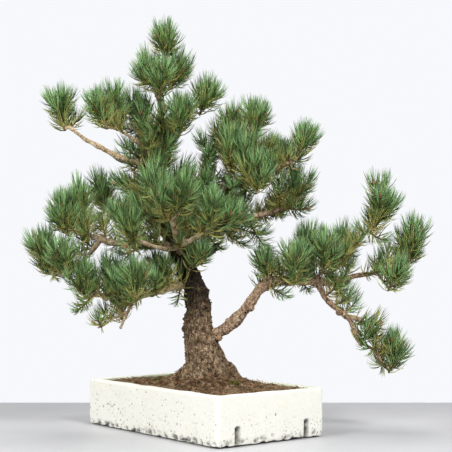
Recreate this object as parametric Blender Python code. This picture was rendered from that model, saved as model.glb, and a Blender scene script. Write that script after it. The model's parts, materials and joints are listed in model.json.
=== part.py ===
"""Pine bonsai in a cast trough: the trough, its soil and moss, the trunk, its limbs and their needle tufts.

Metres, +Z up. The origin is the middle of the trough's underside and +X runs along the trough's long side.
The tree is planted turned to the trough: its limbs are laid out as seen from the tree's own front, as
(right, back, up above the trough's rim), and FRONT_TURN turns them into place. Every tuft of needles is one
closed egg-shaped envelope at the end of its twig, kept clear of the wood and of the tufts beside it.
"""

import math

import bmesh
import bpy
import numpy as np
from mathutils import Matrix, Vector

# Trough
POT_LENGTH = 0.378
POT_WIDTH = 0.225
POT_HEIGHT = 0.080
POT_WALL = 0.0145
POT_FLOOR = 0.016
POT_CORNER_RADIUS = 0.014
POT_EDGE_RADIUS = 0.0035
POT_INSIDE_FILLET = 0.005
CORNER_STEPS = 5

# Drain slots at the foot of both short walls
SLOT_WIDTH = 0.010
SLOT_HEIGHT = 0.031
SLOT_FROM_CORNER = 0.0405

# Soil and moss
SOIL_DIP = 0.006
MOUND_HEIGHT = 0.021
MOUND_REACH = 0.075
MOSS_THICKNESS = 0.007

# Tree
TREE_SCALE = 1.0
FRONT_TURN = math.radians(51.6)
TRUNK_RADIUS = 0.026
TRUNK_TIP_RADIUS = 0.0035
TRUNK_TAPER = 1.25
ROOT_FLARE = 0.038
ROOT_FLARE_HEIGHT = 0.045
ROOT_LOBES = 5
ROOT_LOBE_DEPTH = 0.13
TRUNK_SIDES = 15
LIMB_SIDES = 7
TWIG_SIDES = 5
TWIG_RADIUS = 0.0022
TWIG_TIP_RADIUS = 0.0016
TWIG_RUN = 0.012
TUFT_RADIUS = 0.032
TUFT_SIDES = 8
ROUTE_STEPS = 2

CLEARANCE = 0.0003
TUFT_CLEARANCE = 0.0012

# An egg's outline from its twig to its crown: share of its length, share of its radius.
EGG_OUTLINE = ((0.0, 0.0), (0.13, 0.36), (0.36, 0.84), (0.62, 1.0), (0.86, 0.74), (1.0, 0.0))

BARK = ((0.10, 0.07, 0.05), 0.9)
LIMB_BARK = ((0.23, 0.14, 0.08), 0.85)
NEEDLES = ((0.06, 0.16, 0.07), 0.55)
STONE = ((0.78, 0.77, 0.68), 0.95)
SOIL = ((0.09, 0.055, 0.03), 1.0)
MOSS = ((0.12, 0.16, 0.03), 1.0)

TRUNK_ROUTE = (
    (0.010, 0.000, -0.022), (0.010, 0.000, 0.015), (0.005, 0.000, 0.045), (0.000, 0.000, 0.070),
    (-0.005, 0.000, 0.100), (-0.005, 0.000, 0.130), (-0.010, 0.000, 0.155), (-0.020, 0.000, 0.185),
    (-0.030, 0.005, 0.210), (-0.045, 0.010, 0.235), (-0.060, 0.010, 0.270), (-0.080, 0.010, 0.310),
    (-0.095, 0.010, 0.350), (-0.095, 0.010, 0.380), (-0.085, 0.005, 0.415), (-0.075, 0.005, 0.450),
    (-0.070, 0.000, 0.480), (-0.075, 0.000, 0.510), (-0.070, 0.000, 0.540), (-0.065, 0.000, 0.566),
)

# Each stem: radius where it starts, radius where it ends, route. The first stem of a limb leaves the trunk.
TRUNK_FORKS = (
    (0.0110, 0.0040, ((-0.030, 0.005, 0.210), (-0.016, 0.020, 0.255), (-0.005, 0.030, 0.295),
                      (0.000, 0.030, 0.335), (0.002, 0.025, 0.370), (0.015, 0.020, 0.395),
                      (0.032, 0.018, 0.410), (0.050, 0.012, 0.415))),
    (0.0055, 0.0045, ((-0.030, 0.005, 0.222), (-0.008, 0.000, 0.232), (0.012, -0.004, 0.228),
                      (0.028, -0.006, 0.236))),
)
LIMBS = {
    "lower_right_branch": (
        (0.0105, 0.0062, ((0.000, 0.000, 0.085), (0.026, -0.005, 0.086), (0.055, -0.010, 0.104),
                          (0.080, -0.020, 0.132), (0.100, -0.025, 0.160), (0.122, -0.030, 0.176),
                          (0.155, -0.030, 0.176), (0.195, -0.020, 0.176), (0.238, -0.015, 0.171))),
        (0.0050, 0.0034, ((0.200, -0.020, 0.175), (0.210, -0.025, 0.150), (0.230, -0.025, 0.130),
                          (0.255, -0.020, 0.110), (0.262, -0.020, 0.088), (0.276, -0.020, 0.065))),
        (0.0032, 0.0025, ((0.252, -0.020, 0.114), (0.272, -0.022, 0.110), (0.292, -0.020, 0.090),
                          (0.301, -0.020, 0.062), (0.306, -0.020, 0.042),
                          (0.315, -0.020, 0.030))),
        (0.0045, 0.0030, ((0.212, -0.020, 0.175), (0.245, -0.010, 0.220), (0.270, -0.010, 0.245),
                          (0.298, -0.010, 0.273))),
        (0.0045, 0.0028, ((0.220, -0.015, 0.175), (0.270, -0.010, 0.185), (0.305, 0.000, 0.190),
                          (0.335, 0.000, 0.200), (0.356, 0.000, 0.213))),
    ),
    "lower_left_branch": (
        (0.0075, 0.0035, ((-0.018, 0.000, 0.172), (-0.050, -0.020, 0.165), (-0.085, -0.040, 0.155),
                          (-0.125, -0.050, 0.150), (-0.160, -0.050, 0.150), (-0.188, -0.050, 0.153))),
        (0.0032, 0.0022, ((-0.112, -0.046, 0.150), (-0.124, -0.050, 0.122), (-0.136, -0.050, 0.096))),
        (0.0028, 0.0018, ((-0.124, -0.050, 0.124), (-0.148, -0.052, 0.112), (-0.174, -0.050, 0.096))),
    ),
    "middle_left_branch": (
        (0.0070, 0.0030, ((-0.048, 0.010, 0.238), (-0.072, -0.008, 0.238), (-0.105, -0.018, 0.236),
                          (-0.145, -0.024, 0.240), (-0.175, -0.025, 0.248), (-0.205, -0.025, 0.258),
                          (-0.228, -0.030, 0.264))),
        (0.0040, 0.0026, ((-0.172, -0.025, 0.247), (-0.195, -0.035, 0.217), (-0.220, -0.042, 0.196),
                          (-0.240, -0.042, 0.190), (-0.258, -0.038, 0.197))),
    ),
    "front_branch": (
        (0.0065, 0.0030, ((-0.036, 0.005, 0.218), (-0.040, -0.035, 0.244), (-0.045, -0.070, 0.268),
                          (-0.050, -0.088, 0.292))),
        (0.0048, 0.0030, ((-0.040, -0.024, 0.238), (-0.028, -0.046, 0.240), (-0.008, -0.066, 0.248),
                          (0.014, -0.088, 0.270))),
        (0.0042, 0.0026, ((-0.040, -0.020, 0.236), (-0.056, -0.042, 0.230), (-0.080, -0.065, 0.234),
                          (-0.104, -0.080, 0.244), (-0.116, -0.085, 0.250))),
    ),
    "middle_right_branch": (
        (0.0060, 0.0030, ((-0.014, 0.022, 0.262), (0.020, 0.026, 0.270), (0.055, 0.030, 0.280),
                          (0.095, 0.030, 0.290), (0.130, 0.030, 0.300), (0.153, 0.030, 0.309))),
    ),
    "upper_right_branch": (
        (0.0055, 0.0030, ((0.000, 0.030, 0.338), (0.035, 0.006, 0.340), (0.065, -0.015, 0.342),
                          (0.100, -0.015, 0.355), (0.135, -0.006, 0.374), (0.166, -0.005, 0.392))),
    ),
    "upper_left_branch": (
        (0.0055, 0.0026, ((-0.095, 0.010, 0.374), (-0.116, 0.000, 0.383), (-0.140, -0.010, 0.390),
                          (-0.170, -0.015, 0.404), (-0.200, -0.015, 0.420), (-0.220, -0.015, 0.435),
                          (-0.236, -0.011, 0.447))),
    ),
    "upper_left_spur": (
        (0.0042, 0.0026, ((-0.087, 0.005, 0.408), (-0.110, -0.010, 0.416), (-0.135, -0.020, 0.433),
                          (-0.152, -0.024, 0.443))),
    ),
    "back_left_branch": (
        (0.0055, 0.0030, ((-0.075, 0.010, 0.298), (-0.110, 0.050, 0.300), (-0.150, 0.078, 0.305),
                          (-0.176, 0.092, 0.314))),
    ),
    "back_right_branch": (
        (0.0060, 0.0030, ((-0.054, 0.010, 0.254), (-0.036, 0.060, 0.260), (0.000, 0.095, 0.270),
                          (0.040, 0.115, 0.282))),
    ),
}

# Each tuft: the limb that bears it, the end of its twig, the way it reaches from there, and its fullness.
TUFTS = {
    "apex_tip_tuft": ("trunk", (-0.065, 0.000, 0.576), (0.004, 0.000, 0.060), 0.75),
    "apex_left_tuft": ("trunk", (-0.086, -0.014, 0.520), (-0.032, -0.004, 0.060), 1.0),
    "apex_right_tuft": ("trunk", (-0.050, 0.006, 0.522), (0.036, 0.008, 0.056), 1.0),
    "apex_front_tuft": ("trunk", (-0.068, -0.034, 0.505), (0.002, -0.020, 0.058), 0.9),
    "crown_right_tuft": ("trunk", (0.002, 0.005, 0.480), (0.025, -0.004, 0.060), 0.95),
    "crown_middle_tuft": ("trunk", (-0.035, -0.028, 0.440), (0.012, -0.010, 0.060), 0.95),
    "crown_back_tuft": ("trunk", (-0.108, 0.042, 0.462), (-0.018, 0.018, 0.060), 1.0),
    "crown_rear_tuft": ("trunk", (-0.070, 0.072, 0.398), (0.010, 0.040, 0.060), 1.0),
    "upper_left_tip_tuft": ("upper_left_branch", (-0.240, -0.010, 0.452), (-0.014, 0.000, 0.068), 0.95),
    "upper_left_outer_tuft": ("upper_left_spur", (-0.168, -0.034, 0.450), (-0.026, -0.006, 0.056), 0.85),
    "upper_left_inner_tuft": ("upper_left_spur", (-0.152, -0.008, 0.455), (-0.002, 0.006, 0.070), 0.9),
    "upper_right_peak_tuft": ("upper_right_branch", (0.090, 0.000, 0.430), (0.015, 0.002, 0.064), 0.95),
    "upper_right_rear_tuft": ("trunk", (0.055, 0.046, 0.438), (-0.006, 0.018, 0.056), 0.95),
    "upper_right_inner_tuft": ("upper_right_branch", (0.050, -0.028, 0.392), (0.008, -0.008, 0.056), 0.95),
    "upper_right_tip_tuft": ("upper_right_branch", (0.172, -0.005, 0.397), (0.020, 0.000, 0.056), 0.95),
    "upper_right_back_tuft": ("upper_right_branch", (0.135, 0.030, 0.378), (0.006, 0.016, 0.056), 0.95),
    "upper_right_front_tuft": ("upper_right_branch", (0.096, -0.052, 0.338), (0.010, -0.012, 0.062), 1.0),
    "middle_right_tip_tuft": ("middle_right_branch", (0.157, 0.030, 0.313), (0.030, 0.000, 0.068), 1.05),
    "front_left_tuft": ("front_branch", (-0.064, -0.092, 0.299), (-0.024, -0.012, 0.078), 1.0),
    "front_middle_tuft": ("front_branch", (-0.034, -0.100, 0.297), (0.024, -0.018, 0.076), 1.0),
    "front_right_tuft": ("front_branch", (0.018, -0.096, 0.278), (0.004, -0.012, 0.062), 0.95),
    "front_far_right_tuft": ("front_branch", (0.026, -0.084, 0.262), (0.056, -0.004, 0.034), 0.95),
    "front_far_left_tuft": ("front_branch", (-0.120, -0.087, 0.254), (-0.020, -0.010, 0.066), 1.05),
    "trunk_side_tuft": ("trunk", (-0.008, -0.044, 0.206), (0.026, -0.012, 0.032), 0.75),
    "middle_left_tip_tuft": ("middle_left_branch", (-0.232, -0.032, 0.268), (-0.020, -0.006, 0.068), 1.0),
    "middle_left_upper_tuft": ("middle_left_branch", (-0.212, 0.012, 0.284), (-0.008, 0.014, 0.082), 0.95),
    "back_left_tip_tuft": ("back_left_branch", (-0.180, 0.094, 0.319), (-0.018, 0.020, 0.064), 1.0),
    "back_left_inner_tuft": ("back_left_branch", (-0.118, 0.092, 0.316), (0.006, 0.030, 0.060), 1.0),
    "back_right_inner_tuft": ("back_right_branch", (-0.034, 0.104, 0.284), (-0.006, 0.030, 0.066), 1.05),
    "back_right_tip_tuft": ("back_right_branch", (0.045, 0.119, 0.287), (0.020, 0.018, 0.064), 1.05),
    "middle_left_outer_tuft": ("middle_left_branch", (-0.262, -0.036, 0.201), (-0.020, -0.002, 0.066), 1.0),
    "middle_left_front_tuft": ("middle_left_branch", (-0.230, -0.066, 0.196), (-0.002, -0.014, 0.062), 1.0),
    "lower_left_tip_tuft": ("lower_left_branch", (-0.196, -0.054, 0.160), (0.002, -0.010, 0.060), 0.9),
    "lower_left_middle_tuft": ("lower_left_branch", (-0.142, -0.038, 0.160), (-0.006, 0.004, 0.066), 1.0),
    "lower_left_front_tuft": ("lower_left_branch", (-0.108, -0.082, 0.158), (-0.004, -0.016, 0.060), 0.95),
    "lower_left_inner_tuft": ("lower_left_branch", (-0.074, -0.020, 0.173), (0.006, -0.004, 0.052), 0.95),
    "right_hanging_tuft": ("lower_right_branch", (0.326, -0.020, 0.033), (0.018, -0.002, 0.056), 0.85),
    "right_top_tuft": ("lower_right_branch", (0.302, -0.011, 0.278), (0.024, -0.002, 0.088), 0.95),
    "right_end_tuft": ("lower_right_branch", (0.360, -0.002, 0.218), (0.012, -0.006, 0.076), 0.95),
    "right_pad_left_tuft": ("lower_right_branch", (0.180, 0.004, 0.214), (0.002, 0.010, 0.068), 1.0),
    "right_pad_front_tuft": ("lower_right_branch", (0.208, -0.046, 0.204), (0.004, -0.012, 0.066), 1.0),
    "right_pad_right_tuft": ("lower_right_branch", (0.244, 0.016, 0.214), (0.014, 0.010, 0.072), 0.95),
    "right_low_front_tuft": ("lower_right_branch", (0.158, -0.058, 0.186), (-0.006, -0.014, 0.056), 0.95),
    "right_inner_tuft": ("lower_right_branch", (0.112, -0.034, 0.188), (-0.010, -0.004, 0.048), 0.8),
    "right_small_tuft": ("lower_right_branch", (0.326, -0.036, 0.172), (0.022, -0.012, 0.042), 0.80),
}

# Moss pads: place beside the tree (right, back), half length, half width, turn in degrees.
MOSS_PADS = {
    "moss_front": (0.052, -0.046, 0.023, 0.014, -20.0),
    "moss_back": (-0.062, 0.034, 0.024, 0.012, 60.0),
}


# ---- places ----------------------------------------------------------------------------------------------

def planted(right, back, up):
    """A place on the tree, from its front and above the rim, as a place in the trough's frame."""
    point = Matrix.Rotation(FRONT_TURN, 3, "Z") @ (Vector((right, back, up)) * TREE_SCALE)
    return point + Vector((0.0, 0.0, POT_HEIGHT))


def facing(right, back, up):
    """A direction on the tree in the trough's frame, with its length."""
    return Matrix.Rotation(FRONT_TURN, 3, "Z") @ (Vector((right, back, up)) * TREE_SCALE)


def smooth_route(points, steps=ROUTE_STEPS):
    """Points on the Catmull-Rom curve through the given points, `steps` for each span."""
    padded = [points[0] * 2 - points[1], *points, points[-1] * 2 - points[-2]]
    route = []
    for a, b, c, d in zip(padded, padded[1:], padded[2:], padded[3:]):
        for i in range(steps):
            t = i / steps
            bend = (c - a) * t + (a * 2 - b * 5 + c * 4 - d) * t**2 + (b * 3 - a - c * 3 + d) * t**3
            route.append(b + bend / 2)
    return [*route, points[-1]]


def lengths_along(route):
    """How far along the route each of its points lies."""
    lengths = [0.0]
    for a, b in zip(route, route[1:]):
        lengths.append(lengths[-1] + (b - a).length)
    return lengths


def mound(point):
    """The height of the soil over a place in the trough's plan."""
    foot = planted(*TRUNK_ROUTE[0])
    away = math.hypot(point[0] - foot.x, point[1] - foot.y)
    return POT_HEIGHT - SOIL_DIP + MOUND_HEIGHT * math.exp(-((away / MOUND_REACH) ** 2))


# ---- meshes ----------------------------------------------------------------------------------------------

def skinned(rings):
    """A mesh through rings of points, each ring as long as the first, closed by a face at each end."""
    bm = bmesh.new()
    loops = [[bm.verts.new(point) for point in ring] for ring in rings]
    for low, high in zip(loops, loops[1:]):
        for i in range(len(low)):
            j = (i + 1) % len(low)
            bm.faces.new((low[i], low[j], high[j]))
            bm.faces.new((low[i], high[j], high[i]))
    bm.faces.new(loops[0][::-1])
    bm.faces.new(loops[-1])
    bmesh.ops.remove_doubles(bm, verts=bm.verts, dist=1e-7)
    bmesh.ops.recalc_face_normals(bm, faces=bm.faces)
    mesh = bpy.data.meshes.new("shape")
    bm.to_mesh(mesh)
    bm.free()
    return mesh


def tube(route, radii, sides, lobes=None):
    """A closed tube round a route. `lobes` scales the radius by ring and by angle."""
    rings = []
    across = Vector((1.0, 0.0, 0.0))
    for i, centre in enumerate(route):
        along = (route[min(i + 1, len(route) - 1)] - route[max(i - 1, 0)]).normalized()
        across = (across - along * across.dot(along)).normalized()
        over = along.cross(across)
        ring = []
        for k in range(sides):
            angle = 2 * math.pi * k / sides
            radius = radii[i] * (lobes(i, angle) if lobes else 1.0)
            ring.append(centre + (across * math.cos(angle) + over * math.sin(angle)) * radius)
        rings.append(ring)
    return skinned(rings)


def rounded_ring(inset, z):
    """The trough's plan drawn in by `inset`, at height z."""
    radius = max(POT_CORNER_RADIUS - inset, POT_EDGE_RADIUS)
    ring = []
    corners = ((1, -1, -90), (1, 1, 0), (-1, 1, 90), (-1, -1, 180))
    for side_x, side_y, start in corners:
        for k in range(CORNER_STEPS + 1):
            angle = math.radians(start + 90 * k / CORNER_STEPS)
            x = side_x * (POT_LENGTH / 2 - inset - radius) + radius * math.cos(angle)
            y = side_y * (POT_WIDTH / 2 - inset - radius) + radius * math.sin(angle)
            ring.append(Vector((x, y, z)))
    return ring


def box(low, high):
    """A block between two corners."""
    bm = bmesh.new()
    bmesh.ops.create_cube(bm, size=1.0)
    size = Vector(high) - Vector(low)
    bmesh.ops.scale(bm, vec=size, verts=bm.verts)
    bmesh.ops.translate(bm, vec=(Vector(high) + Vector(low)) / 2, verts=bm.verts)
    mesh = bpy.data.meshes.new("block")
    bm.to_mesh(mesh)
    bm.free()
    return mesh


def combined(mesh, others, operation):
    """The mesh after one exact Boolean with all the other meshes."""
    group = bpy.data.collections.new("others")
    bpy.context.scene.collection.children.link(group)
    target = bpy.data.objects.new("target", mesh)
    bpy.context.scene.collection.objects.link(target)
    helpers = [bpy.data.objects.new("other", other) for other in others]
    for helper in helpers:
        group.objects.link(helper)
    modifier = target.modifiers.new("combine", "BOOLEAN")
    modifier.operation = operation
    modifier.solver = "EXACT"
    modifier.operand_type = "COLLECTION"
    modifier.collection = group
    modifier.use_self = operation == "UNION"
    bpy.context.view_layer.update()
    graph = bpy.context.evaluated_depsgraph_get()
    result = bpy.data.meshes.new_from_object(target.evaluated_get(graph))
    for helper in (target, *helpers):
        bpy.data.objects.remove(helper)
    bpy.data.collections.remove(group)
    return result


def finished(name, mesh, finish):
    """The mesh as a named object with its own material."""
    colour, roughness = finish
    material = bpy.data.materials.new(name)
    material.use_nodes = True
    shader = material.node_tree.nodes["Principled BSDF"]
    shader.inputs["Base Color"].default_value = (*colour, 1.0)
    shader.inputs["Roughness"].default_value = roughness
    shader.inputs["Metallic"].default_value = 0.0
    mesh.materials.clear()
    mesh.materials.append(material)
    mesh.shade_smooth()
    mesh.set_sharp_from_angle(angle=math.radians(40))
    item = bpy.data.objects.new(name, mesh)
    bpy.context.scene.collection.objects.link(item)
    return item


# ---- wood ------------------------------------------------------------------------------------------------

class Stem:
    """A tapered stretch of wood: its smoothed route and the radius at each point of it."""

    def __init__(self, route, radii, sides=LIMB_SIDES, lobes=None):
        self.route = route
        self.radii = radii
        self.sides = sides
        self.lobes = lobes

    def mesh(self, spare=0.0):
        """The stem's solid, with its skin and its ends moved out by `spare`."""
        route = list(self.route)
        route[0] = route[0] + (route[0] - route[1]).normalized() * spare
        route[-1] = route[-1] + (route[-1] - route[-2]).normalized() * spare
        return tube(route, [r + spare for r in self.radii], self.sides, self.lobes)

    def nearest(self, point):
        """The point of the route, short of its ends, that is closest to another point."""
        return min(self.route[1:-1], key=lambda p: (p - point).length)

    def beads(self):
        """Balls that fill the stem: centre and radius, close enough to stand for it."""
        for a, b, ra, rb in zip(self.route, self.route[1:], self.radii, self.radii[1:]):
            count = max(2, math.ceil((b - a).length / 0.004))
            for i in range(count + 1):
                t = i / count
                yield (*a.lerp(b, t), max(ra, rb))


def trunk_stem():
    """The trunk from below the soil to the leader's tip, flared and lobed at its foot."""
    route = smooth_route([planted(*point) for point in TRUNK_ROUTE])
    along = lengths_along(route)
    radii = []
    for s in along:
        taper = (1 - s / along[-1]) ** TRUNK_TAPER
        plain = TRUNK_TIP_RADIUS + (TRUNK_RADIUS - TRUNK_TIP_RADIUS) * taper
        flare = ROOT_FLARE * math.exp(-s / (ROOT_FLARE_HEIGHT * TREE_SCALE))
        radii.append((plain + flare) * TREE_SCALE)

    def lobes(ring, angle):
        fade = math.exp(-along[ring] / (ROOT_FLARE_HEIGHT * TREE_SCALE))
        return 1 + ROOT_LOBE_DEPTH * fade * math.cos(ROOT_LOBES * angle)

    return Stem(route, radii, TRUNK_SIDES, lobes)


def limb_stem(start_radius, end_radius, points):
    """A stem that tapers evenly along its route."""
    route = smooth_route([planted(*point) for point in points])
    along = lengths_along(route)
    radii = [(start_radius + (end_radius - start_radius) * s / along[-1]) * TREE_SCALE for s in along]
    return Stem(route, radii)


def twig_stem(stems, place, reach):
    """The twig from the nearest of a limb's stems to the foot of a tuft."""
    end = planted(*place)
    before = end - facing(*reach).normalized() * TWIG_RUN * TREE_SCALE
    start = min((stem.nearest(before) for stem in stems), key=lambda p: (p - before).length)
    points = [start, start.lerp(before, 0.55), before, end]
    if (before - start).length < TWIG_RUN / 2:
        points = [start, end.lerp(start, 0.5), end]
    route = smooth_route(points, 1)
    along = lengths_along(route)
    radii = [(TWIG_RADIUS + (TWIG_TIP_RADIUS - TWIG_RADIUS) * s / along[-1]) * TREE_SCALE for s in along]
    return Stem(route, radii, TWIG_SIDES)


# ---- tufts -----------------------------------------------------------------------------------------------

def tuft_balls(name):
    """Balls that hold a tuft at its full radius: a row of centres and their radii."""
    _, place, reach, fullness = TUFTS[name]
    foot = planted(*place)
    reach = facing(*reach)
    shares = np.linspace(0.0, 1.0, 15)
    outline = np.array(EGG_OUTLINE)
    radii = np.interp(shares, outline[:, 0], outline[:, 1]) * TUFT_RADIUS * fullness * TREE_SCALE
    centres = np.array([foot + reach * share for share in shares])
    return centres, radii


def tuft_shares(twigs, wood):
    """How much of its full radius each tuft may have, clear of the wood and of every other tuft."""
    balls = {name: tuft_balls(name) for name in TUFTS}
    shares = {}
    for name, (centres, radii) in balls.items():
        obstacles = [wood, *(beads for owner, beads in twigs.items() if owner != name)]
        beads = np.concatenate(obstacles)
        apart = np.linalg.norm(centres[:, None] - beads[None, :, :3], axis=2)
        room = (apart - beads[None, :, 3] - TUFT_CLEARANCE) / np.maximum(radii[:, None], 1e-6)
        share = min(1.0, room.min())
        for other, (their_centres, their_radii) in balls.items():
            if other == name:
                continue
            apart = np.linalg.norm(centres[:, None] - their_centres[None, :], axis=2)
            both = np.maximum(radii[:, None] + their_radii[None, :], 1e-6)
            share = min(share, ((apart - TUFT_CLEARANCE) / both).min())
        shares[name] = share
    return shares


def tuft_mesh(name, share):
    """A tuft's egg, standing on the end of its twig."""
    _, place, reach, fullness = TUFTS[name]
    reach = facing(*reach)
    along = reach.normalized()
    foot = planted(*place) + along * CLEARANCE
    turn = along.to_track_quat("Z", "Y")
    bm = bmesh.new()
    profile = [
        bm.verts.new((radius * share * TUFT_RADIUS * fullness * TREE_SCALE, 0.0, t * reach.length))
        for t, radius in EGG_OUTLINE
    ]
    edges = [bm.edges.new(pair) for pair in zip(profile, profile[1:])]
    bmesh.ops.spin(bm, geom=edges, cent=(0, 0, 0), axis=(0, 0, 1), angle=2 * math.pi, steps=TUFT_SIDES)
    bmesh.ops.remove_doubles(bm, verts=bm.verts, dist=1e-6)
    bmesh.ops.recalc_face_normals(bm, faces=bm.faces)
    bmesh.ops.transform(bm, matrix=Matrix.Translation(foot) @ turn.to_matrix().to_4x4(), verts=bm.verts)
    mesh = bpy.data.meshes.new(name)
    bm.to_mesh(mesh)
    bm.free()
    return mesh


# ---- trough, soil and moss -------------------------------------------------------------------------------

def pot_mesh():
    """The trough: a rounded shell on a flat floor, with two drain slots at the foot of each short wall."""
    soft = POT_EDGE_RADIUS
    shoulder = soft * (1 - math.sqrt(0.5))
    fillet = POT_INSIDE_FILLET
    profile = (
        (soft, 0.0), (shoulder, shoulder), (0.0, soft),
        (0.0, POT_HEIGHT - soft), (shoulder, POT_HEIGHT - shoulder), (soft, POT_HEIGHT),
        (POT_WALL - soft, POT_HEIGHT), (POT_WALL - shoulder, POT_HEIGHT - shoulder),
        (POT_WALL, POT_HEIGHT - soft), (POT_WALL, POT_FLOOR + fillet),
        (POT_WALL + fillet, POT_FLOOR),
    )
    shell = skinned([rounded_ring(inset, z) for inset, z in profile])
    slots = []
    for end in (-1, 1):
        for side in (-1, 1):
            middle = side * (POT_WIDTH / 2 - SLOT_FROM_CORNER)
            outer = end * (POT_LENGTH / 2 + POT_WALL)
            inner = end * (POT_LENGTH / 2 - POT_WALL - POT_INSIDE_FILLET)
            low = (min(outer, inner), middle - SLOT_WIDTH / 2, -POT_FLOOR)
            high = (max(outer, inner), middle + SLOT_WIDTH / 2, SLOT_HEIGHT)
            slots.append(box(low, high))
    return combined(shell, slots, "DIFFERENCE")


def soil_mesh(what_it_holds):
    """The root ball and its mound: it fills the trough and leaves room for the trunk and the moss."""
    inset = POT_WALL + CLEARANCE
    fillet = POT_INSIDE_FILLET + CLEARANCE
    floor = POT_FLOOR + CLEARANCE
    rings = [
        rounded_ring(inset + fillet, floor),
        rounded_ring(inset, floor + fillet),
    ]
    shares = (1.0, 0.86, 0.68, 0.5, 0.32, 0.14)
    edge = rounded_ring(inset, 0.0)
    for share in shares:
        ring = [Vector((point.x * share, point.y * share, 0.0)) for point in edge]
        for point in ring:
            point.z = mound(point)
        rings.append(ring)
    return combined(skinned(rings), what_it_holds, "DIFFERENCE")


def moss_pad(right, back, half_length, half_width, turn, spare=0.0):
    """A flat cushion of moss half sunk in the soil."""
    place = facing(right, back, 0.0)
    place.z = mound(place)
    bm = bmesh.new()
    bmesh.ops.create_icosphere(bm, subdivisions=2, radius=1.0)
    size = (half_length + spare, half_width + spare, MOSS_THICKNESS / 2 + spare)
    bmesh.ops.scale(bm, vec=size, verts=bm.verts)
    bmesh.ops.rotate(bm, cent=(0, 0, 0), matrix=Matrix.Rotation(math.radians(turn), 3, "Z"), verts=bm.verts)
    bmesh.ops.translate(bm, vec=place, verts=bm.verts)
    mesh = bpy.data.meshes.new("pad")
    bm.to_mesh(mesh)
    bm.free()
    return mesh


# ---- the whole -------------------------------------------------------------------------------------------

def main():
    """Clears the scene, then builds the pot, the soil, the moss, the wood and the tufts."""
    for item in list(bpy.data.objects):
        bpy.data.objects.remove(item)

    stems = {"trunk": [trunk_stem(), *(limb_stem(*fork) for fork in TRUNK_FORKS)]}
    for limb, parts in LIMBS.items():
        stems[limb] = [limb_stem(*part) for part in parts]
    wood = np.array([bead for parts in stems.values() for stem in parts for bead in stem.beads()])
    twigs = {name: twig_stem(stems[tuft[0]], tuft[1], tuft[2]) for name, tuft in TUFTS.items()}
    twig_beads = {name: np.array(list(twig.beads())) for name, twig in twigs.items()}

    trunk_twigs = [twig for name, twig in twigs.items() if TUFTS[name][0] == "trunk"]
    swollen = [stem.mesh(CLEARANCE) for stem in [*stems["trunk"], *trunk_twigs]]
    room_for_trunk = combined(swollen[0], swollen[1:], "UNION")
    for limb, parts in stems.items():
        parts = parts + [twig for name, twig in twigs.items() if TUFTS[name][0] == limb]
        mesh = combined(parts[0].mesh(), [part.mesh() for part in parts[1:]], "UNION")
        if limb == "trunk":
            finished(limb, mesh, BARK)
        else:
            finished(limb, combined(mesh, [room_for_trunk], "DIFFERENCE"), LIMB_BARK)

    for name, share in tuft_shares(twig_beads, wood).items():
        finished(name, tuft_mesh(name, share), NEEDLES)

    finished("pot", pot_mesh(), STONE)
    room_for_moss = [moss_pad(*pad, spare=CLEARANCE) for pad in MOSS_PADS.values()]
    finished("soil", soil_mesh([room_for_trunk, *room_for_moss]), SOIL)
    for name, pad in MOSS_PADS.items():
        finished(name, combined(moss_pad(*pad), [room_for_trunk], "DIFFERENCE"), MOSS)


main()
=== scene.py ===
"""Pine bonsai in a cast trough: surfaces, needles and finishes round the fixed model.

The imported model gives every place: the trough, the soil, the trunk, the limbs and the envelope of each
needle tuft. This script grows the bark, the shoots and the needles on them, rebuilds the cast trough with
its worn face, lays the litter and the moss on the soil, and sets a pale floor, soft lights and the camera.
"""

from __future__ import annotations

import json
import logging
import math
from collections.abc import Callable
from dataclasses import dataclass, field
from enum import Enum

import bmesh
import bpy
import numpy as np
from mathutils import Matrix, Vector, noise
from mathutils.bvhtree import BVHTree


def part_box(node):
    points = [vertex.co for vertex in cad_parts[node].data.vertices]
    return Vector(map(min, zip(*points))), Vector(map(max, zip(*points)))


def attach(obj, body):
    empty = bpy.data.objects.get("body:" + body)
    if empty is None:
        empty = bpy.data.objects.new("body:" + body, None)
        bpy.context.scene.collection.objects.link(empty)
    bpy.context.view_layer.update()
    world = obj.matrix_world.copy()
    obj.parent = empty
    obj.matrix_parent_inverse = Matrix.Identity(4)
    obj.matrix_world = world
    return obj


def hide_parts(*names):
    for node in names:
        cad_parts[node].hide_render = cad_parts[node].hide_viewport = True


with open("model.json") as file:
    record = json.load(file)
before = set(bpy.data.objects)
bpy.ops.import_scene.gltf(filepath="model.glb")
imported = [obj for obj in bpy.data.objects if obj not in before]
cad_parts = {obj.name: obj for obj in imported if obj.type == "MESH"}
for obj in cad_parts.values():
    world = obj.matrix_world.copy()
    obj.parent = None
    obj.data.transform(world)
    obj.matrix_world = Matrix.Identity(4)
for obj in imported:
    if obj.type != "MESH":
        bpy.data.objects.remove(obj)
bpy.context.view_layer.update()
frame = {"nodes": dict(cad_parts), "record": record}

logging.basicConfig(level=logging.INFO, format="%(message)s")
LOG = logging.getLogger("bonsai")

ROOT = "root"
PALETTE_UV = "OFBake"
UPRIGHT = (0.0, 0.0, 1.0)
SIDEWAYS = (0.0, 1.0, 0.0)
WHOLE_TURN = 6.283
GOLDEN_ANGLE = 2.39996
Colour = tuple[float, float, float, float]
Socket = bpy.types.NodeSocket


# ---- small tools -----------------------------------------------------------------------------------------

def tint(red: float, green: float, blue: float) -> Colour:
    """A display colour, 0 to 255 a channel, as the linear colour that a shader takes.

    Args:
        red: Red channel.
        green: Green channel.
        blue: Blue channel.

    Returns:
        Linear red, green, blue and an alpha of one.
    """
    channels = (value / 255 for value in (red, green, blue))
    linear = (c / 12.92 if c <= 0.04045 else ((c + 0.055) / 1.055) ** 2.4 for c in channels)
    return (*linear, 1.0)


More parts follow.
